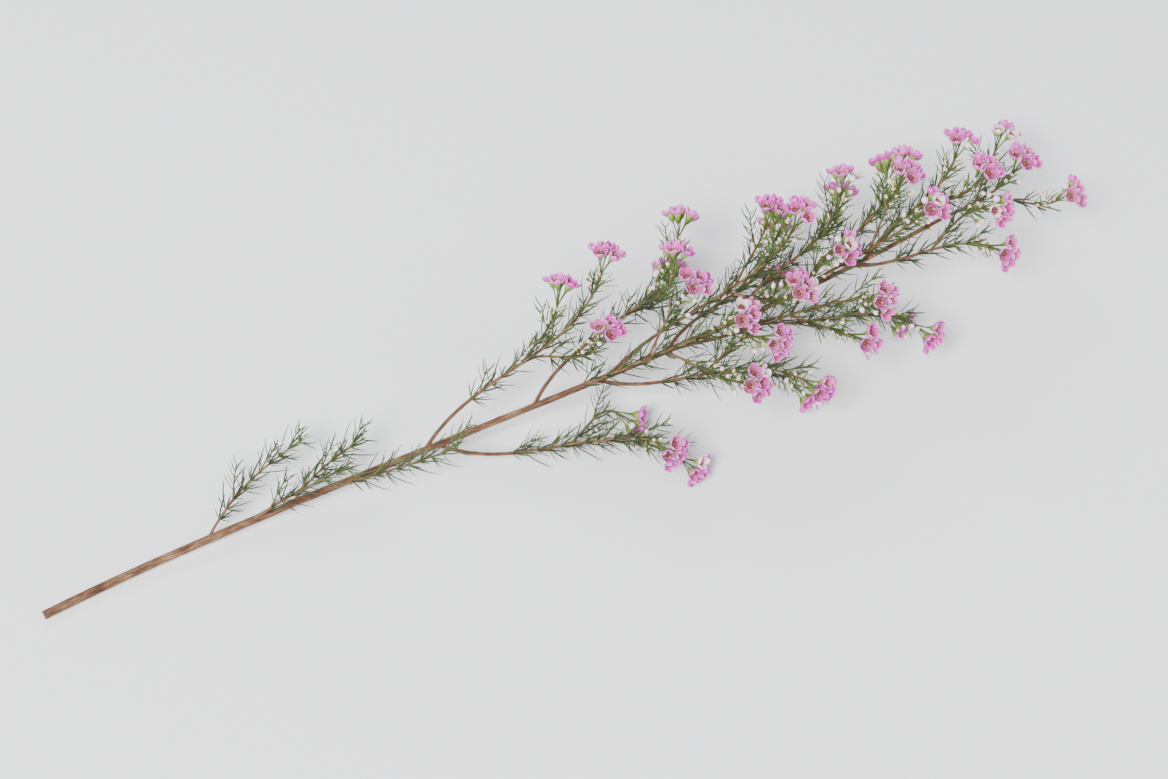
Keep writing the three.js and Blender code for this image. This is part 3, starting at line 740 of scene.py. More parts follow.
def tuft_of(leaf):
    """The short young needles that crowd in the angle between a needle and its twig."""
    item, n = leaf.item + ITEM.tuft, leaf.n
    if luck(item, "tuft", n) > TUFT.chance:
        return []
    axis = lean(leaf.onwards, leaf.out, TUFT.out_by)
    u, v = square_to(axis)
    seat, leaves = leaf.seat + axis * TUFT.foot, []
    for k in range(TUFT.count):
        step, uneven = TUFT.draws * n + k, TUFT.uneven
        turn = 360 * (k + uneven * vary(item, "tuft_turn", step)) / TUFT.count
        out = lean(u, v, turn + TUFT.turn_each * n)
        length = TUFT.length * (1 + uneven * vary(item, "tuft_length", step))
        spread = TUFT.spreading * (1 + uneven * vary(item, "tuft_spread", step))
        tip = above_surface(seat + lean(axis, out, spread) * length)
        young = dict(leaf, foot=mix(seat, tip, TUFT.free_from), tip=tip, seat=seat, out=out)
        leaves.append(Named(young, item=item + ITEM.next_young * k))
    return leaves


def side_shoot(leaf):
    """A short leafy side shoot, bent a little towards the direction of its twig."""
    item, n, start = leaf.item + ITEM.side_shoot, leaf.n, leaf.seat
    onwards, out = leaf.onwards, leaf.out
    side = lean(out, np.cross(onwards, out), SIDE_SHOOT.round_by)
    out_by = SIDE_SHOOT.out_by + SIDE_SHOOT.uneven_out * vary(item, "shoot_lean", n)
    leave = lean(onwards, side, out_by)
    length = SIDE_SHOOT.length * (1 + SIDE_SHOOT.uneven * vary(item, "shoot_reach", n))
    arrive = unit(leave + SIDE_SHOOT.onwards * onwards)
    tip = above_surface(start + (leave + arrive) * length / 2, SIDE_SHOOT.lowest)
    line = Line(start, start + leave * length / 3, tip - arrive * length / 3, tip)
    wood = Wood(line, *[SIDE_SHOOT[key] for key in ("root", "tip", "steps")])
    wood.smooth = line
    return wood, item


def needle(leaf, slim=1.0):
    """One needle from the middle of its twig to its tip, bowed a little, with a hook at the end."""
    seat, item, step = leaf.seat, leaf.item, leaf.n
    chord = leaf.tip - seat
    along = unit(chord)
    side = unit(leaf.out - along * (leaf.out @ along))
    twist = np.cross(along, side)
    bow = NEEDLE.bow_mean + NEEDLE.bow_uneven * vary(item, "needle", step)
    bow *= slim**3 * NEEDLE.bow
    sway = NEEDLE.sway * slim**3 * vary(item + ITEM.leaf_sway, "needle", step)
    arch = (4 * NEEDLE_ROWS * (1 - NEEDLE_ROWS))[:, None]
    centres = seat + chord * NEEDLE_ROWS[:, None] + arch * (side * bow + twist * sway)
    centres[-1] -= side * NEEDLE.hook * np.sign(bow)
    girth = 1 + NEEDLE.girth_uneven * vary(item + ITEM.leaf_girth, "needle", step)
    radii = slim * NEEDLE.radius * NEEDLE_GIRTH * girth
    fresh = max(math.exp(-step / NEEDLE.fresh_pairs), NEEDLE.fresh_slim * (1 - slim))
    shade = luck(item + ITEM.leaf_shade, "needle", step)
    data = dict(fresh=fresh, shade=shade, reach=NEEDLE_ROWS)
    return tube(centres, radii, NEEDLE.sides, first=twist, flat=NEEDLE.flat, **data)


# Waxy leaf: leathery and half glossy, dark green with a paler dotted skin of oil glands 0.4 mm
# apart, yellower on young growth and browned at the hook.
LEAF_GLANDS = Named(apart=0.4, relief=0.05 * MM)


@new_material
def waxy_leaf(add):
    old = add("ValToRGB", "shade", ramp={0: "#0c1505", 0.5: "#182609", 1: "#2c3d10"})
    new = add("ValToRGB", "shade", ramp={0: "#27410d", 1: "#4e711b"})
    growth = add("Mix", Factor="fresh", A=old, B=new, data_type="RGBA")
    glands = add("TexVoronoi", "grain", Scale=1 / LEAF_GLANDS.apart)
    dot = add("MapRange", glands, From_Min=0.12, From_Max=0.3, To_Min=0.3, To_Max=0)
    dotted = add("Mix", Factor=dot, A=growth, B="#53672c", data_type="RGBA")
    tip = add("MapRange", "reach", From_Min=0.9, From_Max=1, To_Max=0.75)
    hooked = add("Mix", Factor=tip, A=dotted, B="#8a6a3a", data_type="RGBA")
    relief = add("Bump", Height=glands, Distance=LEAF_GLANDS.relief, Strength=0.5)
    return add("BsdfPrincipled", hooked, Roughness=0.42, Normal=relief)


growths = []
for s, shoot in enumerate(shoots):
    leaves = leaf_pairs(shoot.wood, ITEM.shoot + s, **SHOOT_LEAVES)
    growths.append(Named(node=shoot_node(s), owner=SHOOT_OWNER + s, leaves=leaves, grown=[]))
for b, spray in enumerate(sprays):
    leaves = leaf_pairs(spray[0].wood, b, **SPRAY_LEAVES)
    for head in spray[1:]:
        leaves += leaf_pairs(head.wood, ITEM.twig + head.number, **TWIG_LEAVES)
    growths.append(Named(node=spray_node(b), owner=SPRAY_OWNER + b, leaves=leaves, grown=[]))

# The needles that stand as solids in the frame are the first to find room.
for solid, gap, radius in [(True, LEAF.gap, LEAF.radius), (False, NEEDLE.gap, NEEDLE.room)]:
    for growth in growths:
        for leaf in [leaf for leaf in growth.leaves if leaf.solid == solid]:
            if room.is_clear(growth.owner, leaf.foot, leaf.tip, radius, gap):
                room.fill(growth.owner, leaf.foot, leaf.tip, radius)
                growth.grown.append(leaf)

for growth in growths:
    growth.update(side_shoots=[], young=[])
    for leaf in growth.grown:
        group, place = divmod(leaf.n, SIDE_SHOOT.every)
        wood, item = side_shoot(leaf)
        ends = SIDE_SHOOT_ROOM.filled_from, SIDE_SHOOT_ROOM.free_from, 1
        root, middle, tip = wood.line.point(ends)
        is_due = place == SIDE_SHOOT.first and leaf.second == group % 2
        if not (is_due and room.is_clear(NO_OWNER, middle, tip, SIDE_SHOOT_ROOM.free, 0)):
            growth.young += tuft_of(leaf)
            continue
        room.fill(growth.owner, root, tip, wood.root)
        growth.side_shoots.append(branch_shape(wood, leaf.n, **SIDE_SHOOT_SKIN))
        for young in leaf_pairs(wood, item, **SIDE_SHOOT_LEAVES):
            free_foot = mix(young.foot, young.tip, TUFT.free_from)
            growth.young.append(Named(young, foot=free_foot))

for growth in growths:
    node, owner = growth.node, growth.owner
    shapes = [needle(leaf) for leaf in growth.grown]
    for leaf in growth.young:
        ends = leaf.foot, leaf.tip, NEEDLE.room
        if room.is_clear(NO_OWNER, *ends, NEEDLE.young_gap):
            room.fill(owner, *ends)
            shapes.append(needle(leaf, TUFT.slim))
    add_piece(f"{node}_needles", node, shapes, waxy_leaf)
    if growth.side_shoots:
        add_piece(f"{node}_side_shoots", node, growth.side_shoots, woody_bark)

# --------------------------------------------------------------------------------------------------
# Flower stalks and calyxes. Each flower stands on a thin green stalk that widens into a ribbed,
# top-shaped cup of yellow-green skin, whose rosy rim has five short lobes between the petals.

CALYX_LOOK = Named(sides=20, ribs=10, rib=0.06, lobe=0.75, lobe_flare=0.07, inner_rings=3)
CALYX_LOOK |= dict(inner_girth=0.9, inner_lip=1.06, lowest=-0.2, highest=1.3)
CALYX_OUTLINE = np.array(
    [(0.46, -1.2), (0.5, 0), (0.78, 0.45), (1.2, 1.15), (1.6, 2.3), (1.92, 3.5), (2.14, 4.5)]
    + [(2.3, 5)]
)
STALK_LOOK = Named(thick=0.42, sides=8, rows=9, sunk_in_calyx=0.2, bend=0.33, leaving=0.8)
STALK_LOOK |= dict(slimmest=0.9, foot=0.25, foot_length=1.2, skin_from=-1.2, skin_to=-0.15)
ITEM |= dict(draws_each_head=5)
DRAW |= dict(calyx=500, stalk=510)


def lathe(outline, sides, rib=0.0, ribs=0):
    """Rings of points round the way up, from an outline of radius and height, and their turns."""
    angles = turns(sides)
    radius = outline[:, :1] * (1 + rib * np.cos(ribs * angles))
    return polar(radius, angles, outline[:, 1:]), angles


def stand(points, flower, base):
    """Turns points from a flower's own directions (inwards, across, up its stalk) to its place."""
    way, inwards = flower.way, flower.inwards
    return points @ [inwards, np.cross(way, inwards), way] + base + way * flower.rise


def calyx(head, flower):
    look, foot = CALYX_LOOK, STALK.length
    grid, angles = lathe(CALYX_OUTLINE + [0, foot], look.sides, look.rib, look.ribs)
    lobes = np.maximum(0, -np.cos(FLOWER.petals * angles))
    grid[-1, :, 2] += look.lobe * lobes
    grid[-1, :, :2] *= (1 + look.lobe_flare * lobes)[:, None]
    inner = grid[::-1][: look.inner_rings].copy()
    inner[:, :, :2] *= look.inner_girth
    inner[0, :, :2] *= look.inner_lip
    grid = np.concatenate([grid, inner])
    reach = np.clip((grid[:, :, 2] - foot) / CALYX.length, look.lowest, look.highest)
    shade = luck(head.number * ITEM.draws_each_head + flower.down, "calyx")
    # The rib data carries the painted shade in the grooves between the ribs and the painted
    # highlight on their crests.
    rib = np.cos(look.ribs * angles)[None]
    return ringed(stand(grid, flower, head.base), grain=grid, reach=reach, rib=rib, shade=shade)


def place_down(wood, down):
    """The share of a twig's length that lies below a place counted down from its tip."""
    return 1 - down / wood.line.length


def stalk(head, flower, end, thick, sides, rows):
    """A stalk that leaves the twig nearly along it and curves to its flower."""
    look, smooth = STALK_LOOK, head.wood.smooth
    root = place_down(head.wood, flower.down)
    foot, onwards = smooth.point(root), smooth.tangent(root)
    reach = look.bend * np.linalg.norm(end - foot)
    line = Line(foot, foot + onwards * reach * look.leaving, end - flower.way * reach, end)
    shares = np.linspace(0, 1, rows)
    swelling = look.foot * np.exp(-((shares * line.length / look.foot_length) ** 2))
    skin = mix(look.skin_from, look.skin_to, shares)
    shade = luck(head.number * ITEM.draws_each_head + 1, "stalk")
    radii = thick * (look.slimmest + swelling)
    return tube(line.point(shares), radii, sides, reach=skin, rib=0, shade=shade)


def flower_stalk(head, flower):
    height, look = STALK.length + flower.rise + STALK_LOOK.sunk_in_calyx, STALK_LOOK
    end = head.base + flower.way * height
    return stalk(head, flower, end, look.thick, look.sides, look.rows)


# Waxy green skin: thin and half glossy, olive on the stalk and yellow-green on the ribbed cup,
# which turns rosy at its rim, with oil glands as fine dots 0.36 mm apart. Painted shade darkens
# the grooves between the ribs and a painted highlight lightens their crests.
SKIN_GLANDS = Named(per_mm=2.8, relief=0.06 * MM)


@new_material
def waxy_green_skin(add):
    height = add("MapRange", "reach", From_Min=-1.2, From_Max=1.3)
    stalk_colours = {0: "#5a4424", 0.2: "#44541c", 0.48: "#4f6b20"}
    cup_colours = {0.72: "#789434", 0.86: "#aeb75c", 0.93: "#d2868f"}
    skin = add("ValToRGB", height, ramp=stalk_colours | cup_colours)
    # Painted shade in the grooves between the ribs and a painted highlight on their crests, read
    # from the rib data.
    ridge = add("MapRange", "rib", From_Min=-1, To_Min=-0.12, To_Max=0.16)
    tone = add("MapRange", "shade", To_Min=0.85, To_Max=1.1)
    value = add("Math", ridge, tone, operation="ADD")
    toned = add("HueSaturation", Color=skin, Value=value)
    glands = add("TexVoronoi", "grain", Scale=SKIN_GLANDS.per_mm)
    dot = add("MapRange", glands, From_Min=0.1, From_Max=0.28, To_Min=0.35, To_Max=0)
    dotted = add("Mix", Factor=dot, A=toned, B="#4c5f22", data_type="RGBA")
    relief = add("Bump", Height=glands, Distance=SKIN_GLANDS.relief, Strength=0.5)
    return add("BsdfPrincipled", dotted, Roughness=0.45, Normal=relief)


# --------------------------------------------------------------------------------------------------
# Buds. Unopened flowers on shorter stalks below the open ones: a small green calyx under a round
# ball of petals folded over each other, pinkish white when nearly open and cream when still small.

BUD = Named(radius=2.1, leaning=44, stalk=7.5, widest=3.4, foot=12, sides_of_twig=4)
SMALL_BUDS = Named(most=9, tries=26, smallest=0.48, largest=0.95, foot=2.5, apart=0.9, leaning=46)
SMALL_BUDS |= dict(turn=137.5, next_head=90, uneven_turn=25, uneven_lean=12, uneven_stalk=0.2)
BUD_ROOM = Named(gap=0.15, tick=0.1, stalk_from=3, stalk=0.35, stalk_filled=0.4)
BUD_LOOK = Named(sides=15, fold=0.05, winding=0.9, folds_from=0.2, tuck=(0.9, 0.98), ribs=6)
BUD_LOOK |= dict(cup_sides=12, cup_top=0.95, cup_shade=0.6, stalk_sides=5, stalk_rows=6)
BUD_CUP = np.array(
    [(0.45, -1), (0.5, 0), (0.85, 0.5), (1.25, 1.2), (1.62, 2.1), (1.8, 2.6), (1.6, 2.75)]
)
BUD_BALL = np.array(
    [(1.2, 1.9), (1.75, 2.45), (2.06, 3.1), (2.1, 3.75), (1.9, 4.5), (1.45, 5.15), (0.8, 5.55)]
    + [(0.12, 5.7)]
)
DRAW |= dict(bud_size=530, bud_turn=560, bud_lean=590, bud_stalk=610)


def bud_shapes(head, flower, base, size):
    """The stalk, the calyx and the ball of one bud, whose calyx stands on the base."""
    look, seat = BUD_LOOK, Named(flower, rise=0.0)
    thick = STALK_LOOK.thick * (1 + size) / 2
    green = [stalk(head, seat, base, thick, look.stalk_sides, look.stalk_rows)]
    grid, angles = lathe(BUD_CUP * size, look.cup_sides, CALYX_LOOK.rib, look.ribs)
    reach = np.linspace(0, look.cup_top, len(grid))[:, None]
    # The rib data gives the bud cup's ribs painted shade in their grooves and a painted highlight
    # on their crests.
    data = dict(grain=grid, reach=reach, rib=np.cos(look.ribs * angles)[None])
    green.append(ringed(stand(grid, seat, base), shade=look.cup_shade, **data))
    ball = np.concatenate([BUD_BALL[:1] * look.tuck, BUD_BALL]) * size
    grid, angles = lathe(ball, look.sides)
    heights = np.linspace(0, 1, len(grid))[:, None]
    wind = (FLOWER.petals * angles / math.tau + look.winding * heights**2) % 1
    grid[:, :, :2] *= (1 + look.fold * (wind - 0.5) * (heights > look.folds_from))[..., None]
    data = dict(grain=grid, reach=heights, wind=wind, ripe=size)
    return green, ringed(stand(grid, seat, base), **data)


def bud_plans(head):
    """Where the bud that stands in the frame and the smaller ones would grow, in order."""
    number, small, plans = head.number, SMALL_BUDS, []
    if len(head.open) == len(head.flowers):
        side = 360 * (number + 0.5) / BUD.sides_of_twig
        plans.append((BUD.foot, side, BUD.leaning, BUD.stalk, 1.0))
    for k in range(small.tries):
        size = mix(small.smallest, small.largest, luck(number, "bud_size", k))
        side = small.next_head * number + small.turn * k
        side += small.uneven_turn * vary(number, "bud_turn", k)
        leaning = small.leaning + small.uneven_lean * vary(number, "bud_lean", k)
        length = BUD.stalk * size * (1 + small.uneven_stalk * vary(number, "bud_stalk", k))
        plans.append((small.foot + small.apart * k, side, leaning, length, size))
    return plans


def buds_of(head, owner):
    """The buds that find room on the sides of a head's twig."""
    green, white = [], []
    u, v = square_to(head.axis)
    for down, side, leaning, length, size in bud_plans(head):
        if len(white) == SMALL_BUDS.most:
            break
        root = place_down(head.wood, down)
        foot, out = head.wood.drawn(root), lean(u, v, side)
        way = lean(head.axis, out, leaning)
        ball, girth = foot + way * (length + BUD.widest * size), BUD.radius * size
        ball_end, stalk_start = ball + way * BUD_ROOM.tick, foot + way * BUD_ROOM.stalk_from
        free = room.is_clear(NO_OWNER, ball, ball_end, girth, BUD_ROOM.gap)
        free = free and room.is_clear(NO_OWNER, stalk_start, ball, BUD_ROOM.stalk, 0)
        if ball[2] < girth or not free:
            continue
        room.fill(owner, ball, ball, girth)
        room.fill(owner, foot, ball, BUD_ROOM.stalk_filled)
        across = np.cross(way, out)
        flower = Named(way=way, inwards=np.cross(across, way), down=down)
        base = head.wood.smooth.point(root) + way * length
        cup, petals = bud_shapes(head, flower, base, size)
        green += cup
        white.append(petals)
    return green, white


# Folded bud petals: waxy and smooth, pinkish white with a deeper pink line along each fold, clouded
# every 1.25 mm, and cream to tan on a small bud.
CLOUD_EVERY = 1.25


@new_material
def folded_petals(add):
    pink = {0: "#dfc9a8", 0.3: "#ecd3e0", 0.65: "#f2d6ea", 1: "#e3a3cf"}
    large = add("ValToRGB", "reach", ramp=pink)
    small = add("ValToRGB", "reach", ramp={0: "#b9b070", 0.5: "#e2d2a9", 1: "#dba98f"})
    ripening = add("MapRange", "ripe", From_Min=0.68, From_Max=0.86)
    tone = add("Mix", Factor=ripening, A=small, B=large, data_type="RGBA")
    fold = add("MapRange", "wind", From_Min=0.12, From_Max=0, To_Max=0.5)
    cloud = add("TexNoise", "grain", Scale=1 / CLOUD_EVERY, Detail=3)
    edge = add("Math", fold, cloud, operation="MULTIPLY")
    lined = add("Mix", Factor=edge, A=tone, B="#c46f9f", data_type="RGBA")
    inner_light = dict(Subsurface_Weight=0.2, Subsurface_Scale=1.0 * MM)
    return add("BsdfPrincipled", lined, Roughness=0.38, **inner_light)


for b, spray in enumerate(sprays):
    node, green, white = spray_node(b), [], []
    for head in spray:
        for flower in head.flowers:
            if flower.open:
                green += [flower_stalk(head, flower), calyx(head, flower)]
            else:
                base = head.base + flower.way * STALK.length
                cup, petals = bud_shapes(head, flower, base, 1.0)
                green += cup
                white.append(petals)
        more_green, more_white = buds_of(head, SPRAY_OWNER + b)
        green += more_green
        white += more_white
    add_piece(f"{node}_calyxes", node, green, waxy_green_skin)
    if white:
        add_piece(f"{node}_buds", node, white, folded_petals)

# --------------------------------------------------------------------------------------------------
# Petals. Five rounded, waxy petals stand in a cup on the rim of each calyx, each one edge under its
# neighbour, lilac pink with a pale rim and deep magenta towards the throat. Older flowers bleach.

PETAL = Named(rows=8, columns=7, half_width=2.75, narrow=0.6, full_width_at=1 / 1.8, overlap=0.17)
PETAL |= dict(uneven_length=0.03, uneven_turn=0.05, spoon=0.5, sag=0.25, narrowest=1)
PETAL |= dict(wave=0.14, waves=5, wave_moves=2.2, wave_lift=0.8)
PETAL |= dict(thick=0.3, thin_from=0.35, thinning=1.2, thinnest=0.12)
CROWDING = Named(opening=0.09, pressed=0.2, middle_pressed=0.12, pressed_from=0.4)
AGE = Named(open_mean=0.96, open_uneven=0.04, closed=0.34, few_closed=1.5, closing_curve=1.6)
AGE |= dict(bleached_share=0.1, bleached=0.85, most_fading=0.18)
TINT = Named(mean=0.5, flower=0.36, petal=0.14)
CUP_OUTLINE = Line((2.0, 0, 13.85), (3.75, 0, 13.75), (4.75, 0, 15.3), (4.6, 0, 17.75))
DRAW |= dict(petal_length=600, petal_wave=610, petal_turn=620, openness=630, bleaching=640)
DRAW |= dict(flower_tint=645, fading=650, petal_tint=660, closing=670)


def crowding(angle, reach, is_middle):
    """How neighbours press a flower in: the middle one all round, the others towards the middle of
    the head. Away from it they open wider."""
    risen = np.clip(reach / CROWDING.pressed_from, 0, 1)
    if is_middle:
        return 1 - CROWDING.middle_pressed * risen
    towards, away = np.maximum(0, np.cos(angle)), np.maximum(0, -np.cos(angle))
    return 1 - CROWDING.pressed * towards**2 * risen + CROWDING.opening * away * reach


def petal(k, flower, openness, closing):
    """One petal of a flower, in the flower's own directions, as a closed leaf of even thickness. A
    young flower's petals still close over it."""
    rows, columns, item = PETAL.rows, PETAL.columns, flower.item
    t, w = np.linspace(-1, 1, rows)[:, None], np.linspace(-1, 1, columns)[None, :]
    x, y = w * np.sqrt(1 - t**2 / 2), t * np.sqrt(1 - w**2 / 2)
    shortened = PETAL.uneven_length * (1 + vary(item, "petal_length", k))
    reach = 0.5 * (y + 1) * (1 - shortened)
    line, tangent = CUP_OUTLINE.point(reach), CUP_OUTLINE.tangent(reach)
    radius, height = line[..., 0], line[..., 2]
    width = mix(PETAL.narrow, 1, np.clip(reach / PETAL.full_width_at, 0, 1))
    phase = PETAL.waves * x + PETAL.wave_moves * vary(item, "petal_wave", k)
    ruffle = PETAL.wave * np.sin(phase) * reach**2
    turn = k * math.tau / FLOWER.petals + PETAL.uneven_turn * vary(item, "petal_turn", k)
    angle = turn + x * PETAL.half_width * width / np.maximum(radius, PETAL.narrowest)
    spread = radius * openness * (1 - closing * reach ** AGE.closing_curve)
    spread *= crowding(angle, reach, flower.is_middle)
    inner = spread - PETAL.spoon * x**2 * reach - PETAL.overlap * x + ruffle
    rise = height + ruffle * PETAL.wave_lift - PETAL.sag * x**2 * reach
    edge = 1 - np.maximum(x**2 + y**2 - PETAL.thin_from, 0) * PETAL.thinning
    thick = PETAL.thick * np.sqrt(np.clip(edge, PETAL.thinnest, 1))
    outer, sunk = inner + tangent[..., 2] * thick, rise - tangent[..., 0] * thick
    quads, index = quads_of(rows, columns, False), np.arange(rows * columns).reshape(rows, columns)
    rim = np.concatenate([index[0], index[1:, -1], index[-1, -2::-1], index[-2:0:-1, 0]])
    step, behind = np.roll(rim, -1), rows * columns
    joined = np.stack([step, rim, rim + behind, step + behind], axis=-1)
    data = dict(reach=reach, across=x, rim=np.sqrt(x**2 + y**2))
    return dict(
        {key: np.tile(value.ravel(), 2) for key, value in data.items()},
        points=np.stack([polar(inner, angle, rise), polar(outer, angle, sunk)]).reshape(-1, 3),
        quads=np.concatenate([quads, quads[:, ::-1] + behind, joined]),
        caps=[],
        inside=np.repeat([1.0, 0.0], behind),
    )


# Waxy petal: soft gloss and a little light through it. Fine veins run from the throat to the rim,
# drawn 0.3 mm apart, wider than real ones, so that they show. The colour goes from magenta at the
# throat to lilac pink and nearly white at the rim. The spread gives the width of a petal two units
# to the millimetre, so a scale of 1.6 draws 3.2 veins in each.
VEINS = Named(scale=1.6, spread=(2 * PETAL.half_width, 0.9, 9), ragged=0.13, relief=0.12 * MM)


@new_material
def waxy_petal(add):
    place = add("CombineXYZ", "across", "reach", "tint")
    stretched = add("Mapping", place, Scale=VEINS.spread)
    vein = add("TexNoise", stretched, Scale=VEINS.scale, Detail=4, Roughness=0.6)
    ragged = add("MapRange", vein, To_Min=-VEINS.ragged, To_Max=VEINS.ragged)
    depth = add("Math", "reach", ragged, operation="ADD")
    magenta = {0.02: "#52032a", 0.22: "#8e0f62", 0.42: "#b61c96"}
    bowl = add("ValToRGB", depth, ramp=magenta | {0.75: "#d62eb9", 1: "#f15ddd"})
    underside = {0: "#d2b880", 0.14: "#c850a3", 0.45: "#c127a6", 1: "#e952d3"}
    back = add("ValToRGB", depth, ramp=underside)
    sides = add("Mix", Factor="inside", A=back, B=bowl, data_type="RGBA")
    border = add("MapRange", "rim", From_Min=0.8, From_Max=1.0, To_Max=0.55)
    upper = add("MapRange", "reach", From_Min=0.25, From_Max=0.6)
    band = add("Math", border, upper, operation="MULTIPLY")
    rimmed = add("Mix", Factor=band, A=sides, B="#ff9cef", data_type="RGBA")
    old = add("ValToRGB", depth, ramp={0: "#c29a78", 0.3: "#e6cfd2", 1: "#f3e2ef"})
    aged = add("Mix", Factor="bleached", A=rimmed, B=old, data_type="RGBA")
    strength = add("MapRange", "tint", To_Min=0.76, To_Max=1.14)
    warmth = add("MapRange", "tint", To_Min=0.488, To_Max=0.514)
    toned = add("HueSaturation", Color=aged, Value=strength, Hue=warmth)
    relief = add("Bump", Height=vein, Distance=VEINS.relief, Strength=0.5)
    inner_light = dict(Subsurface_Weight=0.25, Subsurface_Scale=1.2 * MM, Normal=relief)
    return add("BsdfPrincipled", toned, Roughness=0.42, **inner_light)


def head_node(head):
    return f"flower_head_{head.number + 1:02d}"


for head in heads:
    parts = []
    for flower in head.open:
        item = flower.item
        openness = AGE.open_mean + AGE.open_uneven * vary(item, "openness")
        closing = AGE.closed * max(0, vary(item, "closing")) ** AGE.few_closed
        is_bleached = luck(item, "bleaching") < AGE.bleached_share
        bleached = AGE.bleached if is_bleached else AGE.most_fading * luck(item, "fading")
        tint = TINT.mean + TINT.flower * vary(item, "flower_tint")
        for k in range(FLOWER.petals):
            shape = petal(k, flower, openness, closing)
            shape["points"] = stand(shape["points"], flower, head.base)
            own_tint = tint + TINT.petal * vary(item, "petal_tint", k)
            for key, value in (("bleached", bleached), ("tint", own_tint)):
                shape[key] = np.full(len(shape["points"]), value)
            parts.append(shape)
    add_piece(f"{head_node(head)}_petals", head_node(head), parts, waxy_petal)

# --------------------------------------------------------------------------------------------------
# Flower centres. A shallow disc, dark red and wet with nectar, closes each calyx. Ten short stamens
# stand in on its edge, and one style with a pale tip stands up from its middle.

DISC_OUTLINE = np.array([[2.08, 14.05], [1.75, 13.75], [1.2, 13.55], [0.6, 13.6], [0.1, 13.7]])
DISC = Named(sides=14, back=0.5)
THREAD_ROWS = np.array([0, 0.3, 0.6, 0.78, 0.92, 1.0])
STAMENS = Named(count=10, foot=1.95, height=14.0, sunk=0.2, length=1.25, lean_in=0.75, curve=1.6)
STAMENS |= dict(uneven_turn=0.08, uneven_length=0.15)
STAMENS |= dict(sides=4, girth=(0.13, 0.11, 0.1, 0.19, 0.17, 0.05))
STYLE = Named(foot=13.5, height=2.5, leaning=0.15)
STYLE |= dict(sides=5, girth=(0.2, 0.17, 0.15, 0.26, 0.24, 0.08))
DRAW |= dict(stamen_turn=700, stamen_length=720, style_lean=740)


def disc(head, flower):
    grid, _ = lathe(DISC_OUTLINE, DISC.sides)
    reach = np.append(1, np.linspace(1, 0, len(grid)))[:, None]
    grid = np.concatenate([grid[:1] - [0, 0, DISC.back], grid])
    return ringed(stand(grid, flower, head.base), reach=reach)


def stamens_and_style(head, flower):
    shapes, shares, item = [], THREAD_ROWS, flower.item
    across = np.cross(flower.way, flower.inwards)
    for n in range(STAMENS.count):
        turn = STAMENS.uneven_turn * vary(item, "stamen_turn", n)
        angle = (n + 0.5) * math.tau / STAMENS.count + turn
        length = STAMENS.length * (1 + STAMENS.uneven_length * vary(item, "stamen_length", n))
        radius = STAMENS.foot - STAMENS.lean_in * shares ** STAMENS.curve
        rise = (length + STAMENS.sunk) * np.sin(shares * math.pi / 2)
        rise += STAMENS.height - STAMENS.sunk
        centres = stand(polar(radius, angle, rise), flower, head.base)
        shapes.append(tube(centres, STAMENS.girth, STAMENS.sides, first=across, reach=shares))
    leaning = STYLE.leaning * vary(item, "style_lean") * shares**2
    centres = np.stack([leaning, 0 * shares, STYLE.foot + STYLE.height * shares], axis=-1)
    centres = stand(centres, flower, head.base)
    style = tube(centres, STYLE.girth, STYLE.sides, first=flower.inwards, reach=shares)
    return [*shapes, style]


# Nectar disc: a wet, dark red skin that the light glints on.
@new_material
def nectar_disc(add):
    red = {0: "#b8602f", 0.2: "#6f1128", 0.7: "#56082c", 1: "#7c1a52"}
    shade = add("ValToRGB", "reach", ramp=red)
    return add("BsdfPrincipled", shade, Roughness=0.18, Coat_Weight=0.4)


# Stamens: thin pink threads with dry tan tips.
@new_material
def thread_and_anther(add):
    pink = {0: "#8e2a68", 0.55: "#c06aa6", 0.72: "#8a4a30", 1: "#c08a54"}
    return add("BsdfPrincipled", add("ValToRGB", "reach", ramp=pink), Roughness=0.6)


for head in heads:
    node = head_node(head)
    discs = [disc(head, flower) for flower in head.open]
    add_piece(f"{node}_discs", node, discs, nectar_disc)
    threads = [shape for flower in head.open for shape in stamens_and_style(head, flower)]
    add_piece(f"{node}_stamens", node, threads, thread_and_anther)

# --------------------------------------------------------------------------------------------------
# Floor, light and camera. A plain pale floor that turns up into a low wall all round, under soft
# studio light. The camera looks down on the stem, whose cut end is at the lower left.

# These sizes are in metres.
STUDIO = Named(floor=5.0, cove=0.9, wall=1.5, cove_rows=12, sides=96)
FLOOR_RINGS = (0.01, 0.5, 0.98)
WORLD = Named(colour="#eef1f5", strength=0.62)
SOFTBOXES = dict(
    softbox_key=((-2.2, -1.7, 4.1), 2.0, 520),
    softbox_fill=((3.4, -2.2, 3.1), 3.4, 85),
    softbox_back=((0.7, 3.8, 3.6), 2.9, 100),
)
CAMERA = Named(azimuth=-24, elevation=60, distance=1.62, lens=85, look_at=(0.005, 0.0, 0.03))


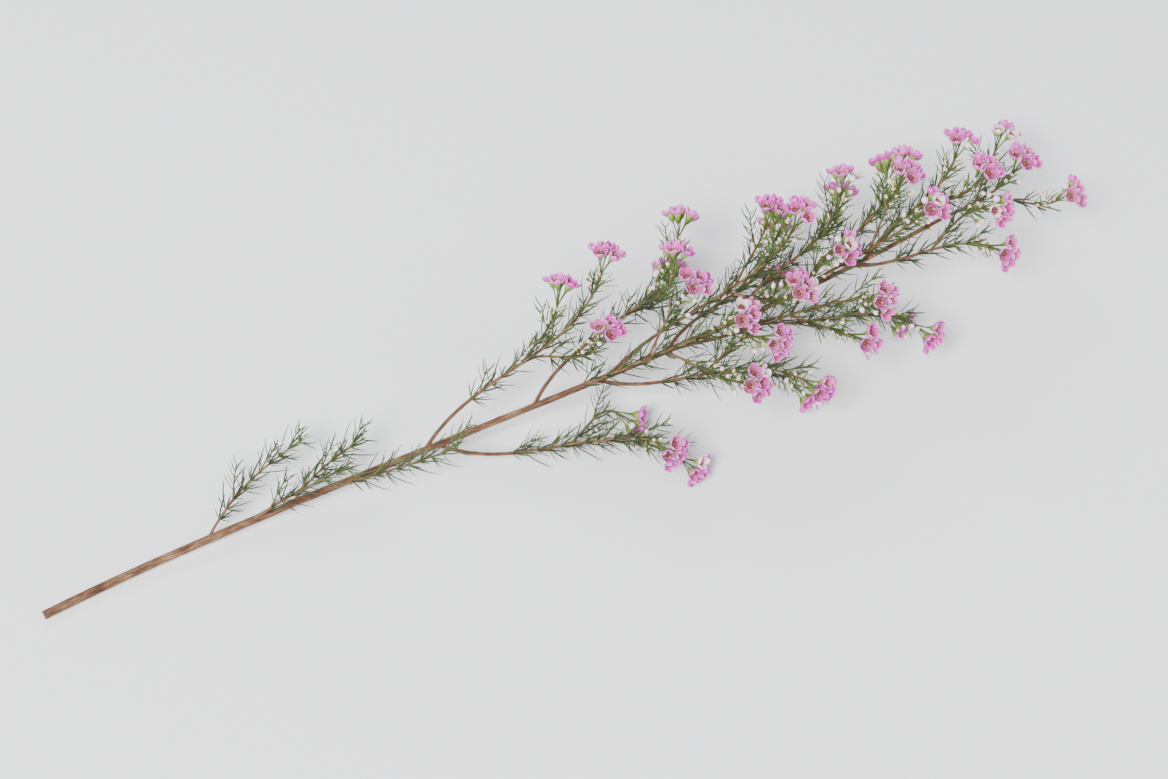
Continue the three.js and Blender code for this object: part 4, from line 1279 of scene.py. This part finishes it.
# Studio floor: matt paper, pale and even.
@new_material
def studio_floor(add):
    return add("BsdfPrincipled", "#e6e7ea", Roughness=0.8)


turn_up = np.linspace(0, math.pi / 2, STUDIO.cove_rows)
cove = np.stack([np.sin(turn_up), 1 - np.cos(turn_up)], axis=-1) * STUDIO.cove
level = [[share * STUDIO.floor, 0] for share in FLOOR_RINGS]
wall_top = [[STUDIO.floor + STUDIO.cove, STUDIO.wall]]
sheet, _ = lathe(np.concatenate([level, cove + [STUDIO.floor, 0], wall_top]), STUDIO.sides)
floor_mesh = bpy.data.meshes.new("studio_floor")
floor_faces = quads_of(*sheet.shape[:2], True).tolist() + [list(range(STUDIO.sides - 1, -1, -1))]
floor_mesh.from_pydata(sheet.reshape(-1, 3).tolist(), [], floor_faces)
floor_mesh.shade_smooth()
floor_mesh.materials.append(studio_floor)
floor = bpy.data.objects.new("studio_floor", floor_mesh)
bpy.context.collection.objects.link(floor)

world = bpy.data.worlds.new("studio")
world.use_nodes = True
world.node_tree.nodes["Background"].inputs["Color"].default_value = colour(WORLD.colour)
world.node_tree.nodes["Background"].inputs["Strength"].default_value = WORLD.strength
bpy.context.scene.world = world

for name, (place, size, power) in SOFTBOXES.items():
    light = bpy.data.lights.new(name, "AREA")
    light.shape, light.size, light.energy = "DISK", size, power
    lamp = bpy.data.objects.new(name, light)
    lamp.location = place
    lamp.rotation_euler = (-Vector(place)).to_track_quat("-Z", "Y").to_euler()
    bpy.context.collection.objects.link(lamp)

azimuth, elevation = math.radians(CAMERA.azimuth), math.radians(CAMERA.elevation)
level_way = Vector((math.sin(azimuth), -math.cos(azimuth), 0))
back = level_way * math.cos(elevation) + Vector((0, 0, math.sin(elevation)))
lens = bpy.data.cameras.new("studio_camera")
lens.lens = CAMERA.lens
camera = bpy.data.objects.new("studio_camera", lens)
camera.location = Vector(CAMERA.look_at) + back * CAMERA.distance
camera.rotation_euler = (-back).to_track_quat("-Z", "Y").to_euler()
bpy.context.collection.objects.link(camera)
bpy.context.scene.camera = camera
